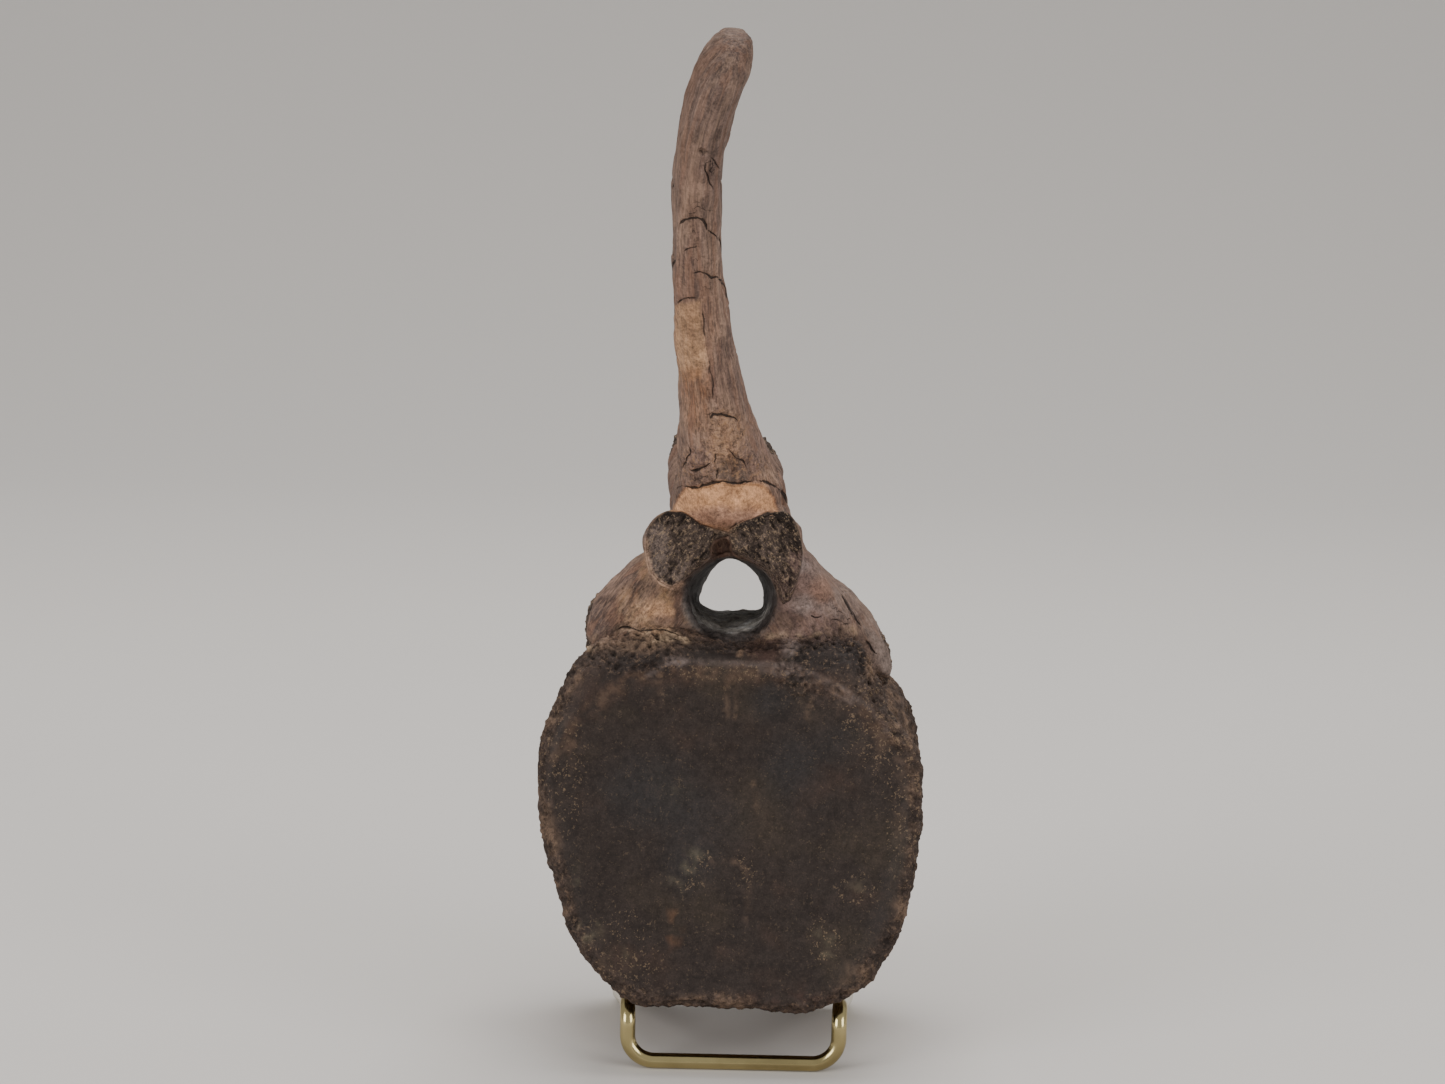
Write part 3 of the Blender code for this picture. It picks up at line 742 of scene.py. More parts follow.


# Cracks of the spine and arch, and painted shadow lines under the shoulders' ledges, as pixels along
# each, with its half width in pixels
CRACKS_AND_SHADOW_LINES = (
    (0.75, ((697, 147), (702, 152), (704, 160), (706, 172), (710, 184), (716, 193))),
    (0.75, ((707, 154), (713, 160), (720, 170))),
    (0.5, ((690, 208), (692, 204), (697, 202), (702, 204))),
    (2.1, ((679, 224), (684, 220), (690, 218), (697, 217), (702, 219), (706, 226), (707, 231))),
    (1.5, ((707, 230), (713, 233), (719, 239), (722, 246), (723, 255))),
    (0.9, ((684, 251), (690, 248), (698, 246))),
    (1.6, ((692, 274), (699, 272), (706, 273), (711, 277), (717, 277), (721, 281), (725, 287), (728, 300))),
    (1.4, ((671, 268), (674, 263), (677, 258))),
    (0.9, ((677, 304), (681, 300), (688, 298), (698, 298))),
    (0.8, ((702, 300), (703, 315), (704, 333), (707, 350), (710, 368), (713, 386), (712, 400), (711, 411))),
    (1.6, ((710, 420), (713, 415), (720, 414), (728, 416), (734, 418), (739, 422))),
    (1.3, ((686, 440), (691, 450), (687, 460), (682, 470))),
    (2.0, ((690, 470), (697, 470), (703, 467), (711, 463))),
    (1.0, ((716, 452), (714, 462), (718, 472), (716, 480))),
    (0.9, ((728, 448), (734, 456), (744, 462), (750, 472))),
    (1.2, ((674, 490), (681, 486), (690, 487), (699, 488), (704, 485), (714, 483), (722, 481),
           (734, 484), (744, 482), (757, 480))),
    (1.7, ((757, 480), (765, 482), (773, 485), (779, 489))),
    (3.0, ((777, 487), (784, 495), (789, 505))),
    (2.0, ((841, 593), (846, 603), (852, 612), (861, 628))),
    (1.2, ((866, 640), (870, 645), (875, 654))),
    # The last three are grooves under the shoulders' ledges, painted dark as their shadow
    (1.0, ((613, 631), (620, 628), (630, 627), (638, 631), (648, 630), (660, 629), (672, 632),
           (682, 636))),
    (0.6, ((810, 615), (817, 618), (823, 616))),
    (0.6, ((829, 621), (836, 619), (844, 624), (852, 624))),
)

# Cracks that ring the far side of the spine: distance along it, half width in millimetres
RING_CRACKS = ((24, 0.3), (64, 0.3), (79, 0.35), (96, 0.4), (119, 0.3))

# Holes and chips: middle, reach, in pixels, and depth in millimetres
CHIPS = (
    ((703, 152), (4.5, 3.0), 1.0), ((676, 308), (3.0, 4.5), 0.7), ((720, 83), (4.0, 5.0), 0.4),
    ((701, 294), (3.5, 4.0), 0.5), ((703, 467), (7.0, 2.5), 0.8), ((728, 470), (14.0, 12.0), 0.9),
    ((700, 476), (7.0, 9.0), 0.5), ((785, 497), (4.0, 9.0), 1.2), ((722, 548), (10.0, 13.0), 1.4),
)

# Broken ends that the picture doesn't place: middle and reach, in millimetres
BROKEN_ENDS = (
    ((-41, 32, 53), 10.5), ((43, 35, 47.5), 10.5), ((-12.5, 66, 109), 6.5), ((8, 66, 107), 6.0),
)

# Outlines in the picture
LEFT_BREAK = (
    (646, 540), (650, 527), (657, 519), (667, 512), (684, 512), (692, 518), (700, 524), (709, 527),
    (718, 529), (731, 534), (724, 537), (714, 539), (710, 547), (709, 560), (700, 568), (689, 576),
    (682, 583), (670, 587), (659, 581), (650, 570), (647, 556),
)
RIGHT_BREAK = (
    (729, 535), (731, 527), (737, 523), (744, 521), (755, 518), (767, 512), (787, 512), (792, 519),
    (799, 533), (803, 548), (801, 567), (796, 584), (790, 600), (783, 604), (779, 594), (772, 581),
    (762, 572), (751, 565), (741, 559), (734, 556), (732, 545),
)
BAND = (
    (672, 511), (676, 499), (682, 489), (690, 487), (699, 489), (704, 486), (714, 484), (722, 482),
    (735, 485), (745, 483), (757, 484), (766, 487), (772, 494), (776, 501), (779, 510), (770, 517),
    (758, 522), (744, 527), (731, 532), (716, 529), (700, 525), (690, 519), (681, 514),
)
STREAK = (
    (668, 306), (680, 302), (694, 299), (702, 300), (702, 330), (706, 350), (706, 366), (700, 378),
    (690, 382), (680, 380), (670, 374),
)
LOWER_STREAK = (
    (682, 372), (690, 370), (700, 369), (708, 372), (711, 392), (709, 412), (703, 428), (694, 434),
    (686, 424), (683, 400),
)

# Each row of marks is: middle, reach, share, colour and, where it isn't 0.9, softness of the edge

# Marks of the spine's upper part and of its root, its small hole, and marks of the band below
UPPER_SPINE_MARKS = (
    ((686, 170), (9, 46), 0.45, OCHRE), ((708, 270), (8, 42), 0.4, SPINE_TAN),
    # grey on the right of the upper spine, partly painted shade on that side
    ((728, 110), (20, 70), 0.6, SPINE_GREY),
)
ROOT_MARKS = (
    ((722, 446), (32, 36), 0.4, SPINE_TAN, 1.4), ((725, 440), (16, 28), 0.35, STREAK_TAN, 1.4),
    ((756, 450), (13, 22), 0.6, PEDICLE_MAUVE), ((700, 457), (11, 11), 0.7, PEDICLE_MAUVE),
    ((670, 466), (9, 34), 0.9, FIBRE_DARK, 0.6), ((730, 471), (16, 13), 0.8, BREAK_GREY, 0.5),
    ((768, 477), (12, 8), 0.7, SPINE_TAN), ((700, 478), (12, 9), 0.5, BREAK_GREY),
)
SPINE_HOLE = ((703, 152), (4, 3))
BAND_MARKS = (((728, 517), (44, 9), 0.6, BAND_PINK), ((744, 525), (34, 6), 0.7, SPINE_RED))
BAND_END = ((783, 506), (8, 20), 0.6)

# Marks of the arch; the pale pink ones on the right pedicle are pink dust and painted sheen
ARCH_MARKS = (
    ((655, 600), (30, 34), 0.9, PEDICLE_GOLD), ((646, 582), (14, 24), 0.75, FIBRE_BROWN),
    ((606, 604), (26, 40), 0.95, STUB_BROWN), ((612, 585), (14, 18), 0.5, PEDICLE_MAUVE),
    ((628, 604), (9, 16), 0.6, PEDICLE_GOLD), ((644, 566), (7, 14), 0.6, PEDICLE_GOLD),
    ((622, 572), (12, 12), 0.5, PEDICLE_MAUVE), ((597, 622), (9, 16), 0.3, SIDE_GREY),
    ((648, 617), (26, 16), 0.7, PEDICLE_TAN), ((657, 610), (14, 9), 0.55, BAND_TAN),
    ((662, 620), (10, 7), 0.6, PEDICLE_MAUVE), ((633, 602), (5, 12), 0.5, OCHRE),
    ((679, 612), (7, 26), 0.9, RED_BROWN), ((675, 590), (9, 10), 0.7, RED_BROWN),
    ((812, 598), (44, 50), 0.85, PEDICLE_MAUVE), ((826, 566), (18, 20), 0.5, SIDE_GREY),
    ((797, 566), (12, 8), 0.7, DUST_AND_SHEEN_PINK), ((804, 604), (14, 9), 0.7, DUST_AND_SHEEN_PINK),
    ((822, 590), (12, 14), 0.45, SPINE_RED), ((788, 618), (14, 10), 0.7, RED_BROWN),
    ((776, 612), (7, 22), 0.8, RED_BROWN), ((790, 590), (10, 14), 0.6, FIBRE_BROWN),
    ((848, 600), (16, 22), 0.9, SIDE_GREY), ((868, 616), (11, 20), 0.6, SIDE_BROWN),
    ((830, 610), (12, 8), 0.4, DUST_AND_SHEEN_PINK), ((848, 612), (12, 18), 0.45, FIBRE_BROWN),
)
# Dark creases on the left: brown lines, with painted shade in the gully between stub and pedicle
LEFT_CREASE = ((640, 556), (636, 576), (632, 598), (624, 616), (616, 630))
LEFT_FURROW = ((628, 560), (620, 580), (608, 602), (598, 626))

# Marks of the shoulders and the upper margin; the pale pink ones are dust with painted glints and sheen
SHOULDER_MARKS = (
    ((632, 642), (48, 11), 0.6, RIM_TAN), ((640, 662), (46, 10), 0.7, SHOULDER_DARK),
    ((598, 655), (24, 14), 0.5, RIM_BROWN), ((672, 648), (14, 12), 0.6, RIM_BROWN),
    ((838, 658), (52, 26), 0.97, SHOULDER_DARK), ((850, 690), (30, 20), 0.7, RIM_BROWN),
    ((789, 647), (11, 8), 0.45, DUST_AND_SHEEN_PINK), ((764, 650), (18, 13), 0.97, RED_BROWN),
    ((716, 652), (30, 9), 0.7, SHOULDER_DARK), ((739, 652), (4, 4), 0.9, RIM_TAN),
    ((871, 664), (6, 14), 0.7, RIM_TAN), ((676, 660), (10, 4), 0.4, DUST_AND_SHEEN_PINK),
    ((780, 668), (16, 6), 0.5, DUST_AND_SHEEN_PINK),
)

# Pale ledges of the two shoulders, with reach and share, and pink crests below them, dust and painted sheen
LEDGES = (
    (((590, 644), (606, 636), (622, 632), (640, 636), (662, 636), (684, 640)), 10, 0.8),
    (((768, 636), (790, 634), (814, 634), (832, 630), (852, 629), (866, 638)), 5, 0.5),
)
RIGHT_CREST = ((764, 668), (790, 672), (820, 682), (850, 699))
CREST_DUST_AND_SHEEN = (
    (646, 677), (664, 665), (684, 661), (720, 663), (770, 664), (800, 668), (836, 684), (868, 706),
    (890, 734),
)

# The smooth strip of the flank beside the right shoulder, and the crumbled one below it
FLANK_STRIP = ((868, 624), (877, 644), (888, 668))
FLANK_CRUMBLE = ((884, 680), (894, 702), (903, 724), (915, 760))

# The dark lip round the canal, dark patches of its walls, and the hollow over it, whose red is
# painted lighter against its shade
CANAL_LIP = (
    (686, 580), (688, 596), (694, 616), (708, 632), (732, 641), (752, 636), (768, 620), (774, 598),
)
CANAL_MARKS = (((766, 618), (10, 20), 0.75, CANAL_DARK), ((694, 612), (8, 20), 0.6, CANAL_DARK))
FOSSA = ((722, 548), (9, 11), 1.0, 0.4)

# Marks of the broken facets, their dark upper edges, the pale lower edge and the bridge between them
BREAK_MARKS = (
    ((657, 548), (11, 30), 0.85, SIDE_GREY), ((797, 562), (9, 13), 0.8, PEDICLE_MAUVE),
    ((680, 572), (18, 9), 0.4, SIDE_GREY),
)
BREAK_FOOT = ((786, 592), (16, 20), 0.8, 1.4)
LEFT_BREAK_TOP = ((655, 520), (667, 513), (684, 513), (692, 519), (704, 526))
RIGHT_BREAK_TOP = ((738, 524), (755, 520), (768, 514), (787, 515), (795, 530), (798, 545))
LEFT_BREAK_FOOT = ((646, 541), (648, 560), (652, 574), (661, 583), (671, 588), (682, 583))
BREAK_BRIDGE = ((716, 531), (731, 528), (735, 534))

# The crest inside the upper margin, and pale streaks below it
CREST = (
    (570, 742), (584, 716), (604, 696), (630, 682), (656, 676), (690, 674), (730, 674), (772, 674),
    (806, 678), (838, 690), (862, 708), (882, 734),
)
FACE_STREAKS = (
    ((727, 680), (728, 714)), ((734, 678), (735, 696), (737, 718)), ((658, 672), (661, 692)),
    ((812, 698), (806, 718)), ((712, 862), (730, 860), (745, 868), (749, 882), (748, 902), (744, 924)),
    ((754, 784), (756, 800), (755, 818)),
)

# Marks of the face, and bluer clouds of it: middle, reach, share
FACE_MARKS = (
    ((690, 866), (9, 8), 0.8, CRUST_GREY), ((700, 858), (9, 7), 0.9, CRUST_GREY),
    ((680, 886), (8, 7), 0.7, CRUST_GREY), ((672, 792), (6, 4), 0.5, CRUST_GREY),
    ((717, 740), (4, 6), 0.6, CRUST_GREY), ((572, 878), (9, 8), 0.7, CRUST_GREY),
    ((588, 932), (14, 12), 0.6, CRUST_GREY), ((622, 956), (9, 6), 0.6, CRUST_GREY),
    ((827, 938), (7, 7), 0.7, CRUST_GREY), ((832, 954), (10, 6), 0.6, CRUST_GREY),
    ((788, 927), (4, 4), 0.8, CRUST_GREY), ((860, 885), (8, 8), 0.45, CRUST_GREY),
    ((676, 930), (8, 17), 0.3, OCHRE), ((890, 735), (14, 46), 0.2, RIM_TAN),
    ((906, 800), (12, 60), 0.2, RIM_TAN), ((552, 800), (10, 66), 0.2, RIM_TAN),
    ((566, 742), (12, 30), 0.15, RIM_TAN), ((904, 905), (9, 26), 0.3, RIM_TAN),
    ((856, 977), (18, 10), 0.3, RIM_TAN), ((610, 960), (30, 26), 0.5, FACE_OLIVE),
    ((790, 998), (50, 9), 0.6, RED_BROWN), ((880, 850), (24, 60), 0.4, FACE_OLIVE),
    ((850, 730), (30, 24), 0.4, RIM_BROWN),
)
FACE_CLOUDS = (
    ((650, 790), (42, 34), 0.6), ((795, 770), (30, 34), 0.55), ((706, 820), (34, 26), 0.5),
    ((770, 700), (18, 18), 0.5), ((690, 860), (26, 26), 0.5), ((840, 740), (22, 16), 0.4),
)

# Where pale specks lie thickly: middle, reach, share
SPECKS = (
    ((880, 720), (42, 55), 0.75), ((905, 800), (22, 90), 0.6), ((560, 770), (30, 80), 0.5),
    ((704, 861), (10, 10), 1.0), ((690, 880), (14, 14), 0.7), ((745, 870), (10, 22), 0.6),
    ((825, 940), (16, 26), 0.7), ((620, 950), (50, 50), 0.45), ((832, 660), (46, 30), 0.35),
    ((860, 890), (30, 20), 0.5), ((730, 672), (70, 12), 0.6),
)


def crack_fields(where):
    """Signed distance in millimetres across the nearest crack or painted shadow line, and its half width
    there, which narrows to nothing at both ends: w (1 - |2s - 1|^4)."""
    count = len(where.x)
    across = np.full(count, FAR_OFF)
    width = np.zeros(count)
    gap = np.full(count, FAR_OFF)
    ragged = 0.3 * lumps(where.points, 2.0, 91, 2)
    uneven = np.clip(1 + lumps(where.points, 4.5, 94, 2), 0.45, 1.8)
    hidden = FAR_OFF * (1 - rise(where.facing, 0.1, 0.4))
    for half, line in CRACKS_AND_SHADOW_LINES:
        away, side, share = to_line(where.seen, line)
        here = CRACK_SHARE * half * MM_PER_PIXEL * (1 - np.abs(2 * share - 1) ** 4) * uneven
        mm = away * MM_PER_PIXEL - here + hidden
        closer = mm < gap
        across = np.where(closer, side * MM_PER_PIXEL + ragged + hidden, across)
        width = np.where(closer, here, width)
        gap = np.where(closer, mm, gap)
    wander = 1.6 * lumps(where.points, 9, 92, 3)
    behind = rise(where.deep, -6, -1)
    for along, half in RING_CRACKS:
        offset = where.along - along + wander
        here = half * behind * where.spine * rise(lumps(where.points, 14, 93 + along, 1), -0.5, 0.1)
        mm = np.abs(offset) - here
        closer = (mm < gap) & (here > 0.02)
        across = np.where(closer, offset, across)
        width = np.where(closer, here, width)
        gap = np.where(closer, mm, gap)
    return across, width


def broken_field(where):
    """How far inside a broken, spongy face each point lies, in millimetres: the two facets that the
    picture shows, and rough balls at the other broken ends."""
    facets = np.maximum(inside(where.seen, LEFT_BREAK), inside(where.seen, RIGHT_BREAK)) * MM_PER_PIXEL
    off_plane = rise(where.y, 9, 13) + rise(where.z, 86, 90) + 1 - where.facing
    facets = np.clip(facets, -BREAK_REACH, BREAK_REACH) - BREAK_REACH * off_plane
    patches = np.full(len(where.x), -BREAK_REACH)
    for centre, reach in BROKEN_ENDS:
        away = np.linalg.norm(where.points - np.array(centre), axis=1)
        patches = np.maximum(patches, reach - away + 3.0 * lumps(where.points, 7, 71, 3))
    patches -= 2 * BREAK_REACH * flank_strip(where, FLANK_STRIP, 13)
    return np.clip(np.maximum(facets, patches), -BREAK_REACH, BREAK_REACH)


def rim_share(where):
    """The rough margins of both end faces, outside the ridge and over the bevel."""
    ragged = 0.035 * lumps(where.points, 8, 73, 3)
    rear = (1 - rise(where.y, 6, 12)) * rise(where.rear_share + ragged, 0.89, 0.95)
    front = rise(where.y, 58, 64) * rise(where.front_share + ragged, 0.86, 0.94)
    ends = np.maximum(rear, front) * (1 - flank_strip(where, FLANK_STRIP, 8))
    return where.centrum * np.maximum(ends, 0.8 * flank_strip(where, FLANK_CRUMBLE, 15))


def arch_share(where):
    """The pedicles and stubs, between the centrum and the spine, outside the canal."""
    return rise(where.z, 46, 54) * (1 - where.canal) * (1 - where.spine) * rise(where.y, 2, 8)


def shoulder_share(where):
    """The two crumbled lobes above the rear face."""
    left = spot(where.seen, (636, 650), (56, 26))
    right = spot(where.seen, (831, 668), (58, 40))
    near_rear = 1 - rise(where.y, 12, 20)
    dark = 1 - 0.5 * spot(where.seen, (838, 668), (34, 22))
    smooth = 1 - flank_strip(where, FLANK_STRIP, 8)
    return np.maximum(left, right) * near_rear * rise(where.z, 28, 38) * dark * smooth


def lip_share(where):
    """The lip of the canal's rear mouth."""
    near = (1 - rise(where.z, *ARCH_TOP)) * (1 - rise(where.y, 12, 18))
    return stroke(where.seen, CANAL_LIP, 8) * where.facing * near


def flank_strip(where, line, reach):
    """A strip of the right flank beside the shoulder and the face's margin."""
    return stroke(where.seen, line, reach) * where.facing * rise(where.x, 24, 30) * rise(where.y, 1, 5)


def band_share(where):
    """The pale band between the root of the spine and the facets."""
    edge = inside(where.seen, BAND) * MM_PER_PIXEL
    return rise(edge, -0.2, 0.7) * where.facing * rise(where.z, *BAND_START)


def streak_share(where):
    """The smooth pale streak on the left of the spine."""
    edge = inside(where.seen, STREAK) * MM_PER_PIXEL
    return rise(edge, -0.5, 0.5) * where.facing * rise(where.z, *STREAK_START)


def root_share(where):
    """The porous root of the spine, over the band."""
    root = np.maximum(spot(where.seen, (726, 450), (24, 42)), spot(where.seen, (720, 466), (48, 24)))
    return root * where.facing * rise(where.z, *STREAK_START) * (1 - band_share(where))


def fine_relief(where, broken):
    """The small lumps and pits in millimetres, about an even mean: crumbled margins and shoulders,
    spongy breaks and spine root, the fibres of the spine and the grain of the arch and the face."""
    points = where.points
    spongy = rise(broken, -0.3, 0.5)
    rim = rim_share(where)
    crumbly = ridges(points, 3.0, 18, 3)
    grains = lumps(points, 1.7, 21, 2, 0.6)
    holes = pits(points, 1.7, 6) - 0.3
    height = rim * (0.4 * lumps(points, 4.5, 5, 2) + 0.4 * crumbly + 0.25 * grains - 0.25 * holes)
    height += shoulder_share(where) * (0.8 * ridges(points, 2.3, 19, 3) + 0.3 * grains - 0.35 * holes)
    rough = 1 - 0.7 * spot(where.seen, (655, 548), (12, 26))
    slanted = where.fibre * BREAK_SLANT
    height += spongy * rough * (0.8 * ridges(slanted, 1.9, 14) + 0.4 * grains - 0.4 * holes)
    height += root_share(where) * (0.35 * crumbly + 0.25 * grains - 0.25 * holes)
    fibres = lumps(where.fibre, 2.2, 23, 3, 0.6)
    smooth = np.maximum(streak_share(where), band_share(where))
    height += 0.36 * where.spine * (1 - 0.7 * smooth) * fibres
    height += 0.26 * arch_share(where) * (1 - spongy) * fibres
    return height + 0.1 * where.rear_face * (1 - rim) * lumps(points, 3.2, 12, 2)


def relief(where, across, width, broken):
    """The rest of the height over the bare bone in millimetres: slow unevenness, sunken margins,
    breaks and chips, and grooves -d exp(-(a / w)^2) at the cracks."""
    rim = rim_share(where)
    face = where.rear_face * (1 - rim)
    height = 0.55 * lumps(where.points, 17, 3) * (1 - 0.6 * face)
    height += 0.35 * lumps(where.points, 7, 4, 2) * (1 - 0.7 * face) * (1 - 0.5 * where.spine)
    height -= 0.24 * rim + 0.37 * rise(broken, -0.3, 0.5)
    height += shoulder_share(where) * (lumps(where.points, 6.5, 8, 2) - 0.27)
    height += where.spine * 0.3 * lumps(where.points, 10, 26, 2)
    groove = np.exp(-((across / (width + 0.22)) ** 2)) * rise(width, 0.02, 0.2)
    height -= groove * (0.3 + 1.1 * width)
    for centre, reach, deep in CHIPS:
        height -= deep * spot(where.seen, centre, reach, 0.8) * where.facing * rise(where.z, 60, 64)
    height -= 0.45 * band_share(where)
    height += 0.55 * lip_share(where) * lumps(where.points, 3, 33, 3)
    crust = where.canal * (0.4 * lumps(where.points, 4, 31, 3) - 0.3 * pits(where.points, 4, 32))
    return height + crust * (0.6 + 0.4 * rise(62 - where.z, 0, 6))


def held_in(points, box):
    """World places eased off inside a box: past the last millimetre, high - exp(-distance)."""
    low, high = np.array(box) / MM
    world = carried(BONE_PLACE, points)
    past = world - (high - 1)
    world = np.where(past > 0, high - np.exp(-np.clip(past, 0, None)), world)
    past = (low + 1) - world
    world = np.where(past > 0, low + np.exp(-np.clip(past, 0, None)), world)
    return carried(BONE_PLACE.inverted(), world)


def clear_of_wire(points):
    """Points nearer the wire's middle line than its radius and the gap are pushed out to that."""
    world = carried(BONE_PLACE, points)
    low = np.flatnonzero(world[:, 2] < BACK_TOP_Z + WIRE)
    a = wire_path(math.radians(6))
    run = np.roll(a, -1, axis=0) - a
    reach = WIRE / 2 + WIRE_CLEARANCE
    for start in range(0, len(low), BATCH):
        rows = low[start:start + BATCH]
        away = world[rows][:, None] - a
        t = np.clip(np.einsum("pij,ij->pi", away, run) / (run**2).sum(axis=1), 0, 1)
        offset = away - t[..., None] * run
        distances = np.linalg.norm(offset, axis=2)
        nearest = distances.argmin(axis=1)
        picked = np.arange(len(rows))
        distance = distances[picked, nearest][:, None]
        push = np.clip(reach - distance, 0, None)
        world[rows] += push * offset[picked, nearest] / np.maximum(distance, 1e-6)
    return carried(BONE_PLACE.inverted(), world)


def over(ground, share, tint):
    """The ground colour with this share of the tint laid on it."""
    share = np.clip(share, 0, 1)[:, None]
    return ground * (1 - share) + np.array(tint) * share


def coated(ground, coats):
    """The ground colour with shares of tints laid on it one after the other: (share, tint), ..."""
    for share, tint in coats:
        ground = over(ground, share, tint)
    return ground


class Brush:
    """Ragged marks on the side that the camera sees, as shares from 0 to 1 at each point."""

    def __init__(self, where, patchy, fine):
        self.where, self.patchy, self.fine = where, patchy, fine
        self.rough = 0.5 * patchy + 0.35 * fine
        self.low = 1 - rise(where.z, *ARCH_TOP)

    def moved(self, pixels):
        """The places in the picture, moved by the roughness times this many pixels."""
        return self.where.seen + pixels * self.rough[:, None]

    def within(self, outline, soft=1.0):
        """1 inside an outline, with a ragged edge this many millimetres wide."""
        edge = inside(self.where.seen, outline) * MM_PER_PIXEL + 1.2 * self.rough
        return rise(edge, -soft / 2, soft / 2) * self.where.facing

    def patch(self, centre, reach, share, soft=0.9):
        """This share in an ellipse with a ragged edge."""
        return share * spot(self.moved(6), centre, reach, soft) * self.where.facing

    def line(self, corners, reach, ragged=0):
        """1 along a bent line, falling to 0 at reach pixels from it."""
        return stroke(self.moved(ragged), corners, reach) * self.where.facing

    def marks(self, ground, part, rows):
        """The ground colour with a patch of each row laid on this part."""
        for centre, reach, share, tint, *soft in rows:
            ground = over(ground, part * self.patch(centre, reach, share, *soft), tint)
        return ground


def painted(where, broken):
    """The bone's ground colour at each point, before the fine grain that the material adds."""
    slow = lumps(where.points, 26, 41, 3)
    patchy = lumps(where.points, 9, 42, 3)
    fine = lumps(where.points, 3.2, 43, 2)
    brush = Brush(where, patchy, fine)
    ground = coated(np.tile(SIDE_BROWN, (len(slow), 1)), (
        (rise(slow + 0.4 * patchy, 0.0, 0.7), SIDE_GREY),
        (0.6 * rise(patchy - 0.5 * slow, 0.15, 0.6), PEDICLE_GOLD),
        (0.6 * rise(-slow, 0.15, 0.6) * (1 - where.spine), PEDICLE_MAUVE),
    ))
    ground = spine_ground(ground, where, slow, patchy)
    ground = end_ground(ground, where, slow, patchy, fine)
    for mark_part in (mark_spine, mark_arch, mark_shoulders, mark_face, mark_canal):
        ground = mark_part(ground, brush)
    return mark_breaks(ground, brush, broken)


def spine_ground(ground, where, slow, patchy):
    """Brown with tan, grey and reddish clouds drawn out along the spine, and painted shade at its sides."""
    spine = where.spine
    long_marks = lumps(where.fibre, 6, 44, 2)
    prongs = rise(where.y, 38, 45) * rise(where.z, 80, 88) * (1 - spine)
    return coated(ground, (
        (spine, SPINE_BROWN),
        (spine * 0.75 * rise(patchy + 0.5 * slow, 0.05, 0.6), SPINE_TAN),
        (spine * 0.6 * rise(-patchy, 0.2, 0.6), SPINE_GREY),
        (spine * 0.55 * rise(long_marks, 0.05, 0.5), SPINE_RED),
        (spine * 0.45 * rise(-long_marks, 0.05, 0.5), PEDICLE_MAUVE),
        # painted shade: darker towards the spine's sides, where its round turns from the light
        (spine * 0.5 * rise(where.spine_side, 0.6, 1.0), SPINE_GREY),
        (0.75 * prongs, FIBRE_BROWN),
    ))


def end_ground(ground, where, slow, patchy, fine):
    """Dark faces at both ends with olive and rusty clouds, inside browner crumbled margins."""
    face = np.maximum(where.rear_face, where.front_face)
    rim = rim_share(where)
    return coated(ground, (
        (face, FACE_DARK),
        (face * 0.7 * rise(slow + 0.3 * patchy, 0.05, 0.6), FACE_OLIVE),
        (face * 0.6 * rise(-slow + 0.5 * patchy, 0.2, 0.8), FACE_RUST),
        (rim, RIM_BROWN),
        (rim * 0.4 * rise(patchy + 0.7 * fine, 0.05, 0.7), RIM_TAN),
        (rim * 0.7 * rise(-patchy - 0.4 * fine, 0.1, 0.6), FACE_DARK),
    ))


def mark_spine(ground, brush):
    """Pale streaks, marks of the tip, the greyer upper part, the root, and the band below it."""
    where = brush.where
    high = rise(where.z, *SPINE_START)
    ground = over(ground, high * 0.75 * brush.within(STREAK, 2.0), STREAK_TAN)
    ground = over(ground, high * 0.75 * brush.within(LOWER_STREAK, 3.0), OCHRE)
    ground = brush.marks(ground, high, UPPER_SPINE_MARKS)
    ground = over(ground, where.spine * 0.68 * rise(where.along, 60, 135), SPINE_GREY)
    ground = brush.marks(ground, high, ROOT_MARKS)
    ground = over(ground, high * spot(where.seen, *SPINE_HOLE) * where.facing * 0.85, CRACK_AND_SHADE_DARK)
    band = rise(where.z, *BAND_START) * brush.within(BAND)
    ground = over(ground, band, BAND_TAN)
    ground = brush.marks(ground, band, BAND_MARKS)
    return over(ground, high * brush.patch(*BAND_END), SIDE_BROWN)


def mark_arch(ground, brush):
    """Marks of the pedicles and stubs, and two dark creases on the left, brown with painted shade."""
    arch = brush.low * (1 - brush.where.canal) * rise(brush.where.z, 44, 50)
    ground = brush.marks(ground, arch, ARCH_MARKS)
    creases = np.maximum(brush.line(LEFT_CREASE, 4, 3), 0.6 * brush.line(LEFT_FURROW, 4))
    return over(ground, arch * creases * 0.8, FIBRE_DARK)


def mark_shoulders(ground, brush):
    """Marks and pale ledges of the shoulders, the right flank, and crests over the face in pink dust and
    painted sheen.
    """
    where = brush.where
    rear = brush.low * (1 - rise(where.y, 16, 24))
    crumbly = rise(brush.fine + brush.patchy, -0.3, 0.5)
    ground = brush.marks(ground, rear, SHOULDER_MARKS)
    for ledge, reach, share in LEDGES:
        ground = over(ground, rear * brush.line(ledge, reach) * share * crumbly, BREAK_TAN)
    flank = flank_strip(where, FLANK_CRUMBLE, 17)
    return coated(ground, (
        (0.9 * flank, RIM_BROWN),
        (flank * 0.6 * crumbly, RIM_TAN),
        (0.9 * flank_strip(where, FLANK_STRIP, 9), SIDE_GREY),
        # pink dust and painted sheen along both crests
        (rear * brush.line(RIGHT_CREST, 9) * 0.3 * (0.4 + crumbly), DUST_AND_SHEEN_PINK),
        (rear * brush.line(CREST_DUST_AND_SHEEN, 4) * (0.2 + 0.25 * crumbly), DUST_AND_SHEEN_PINK),
    ))


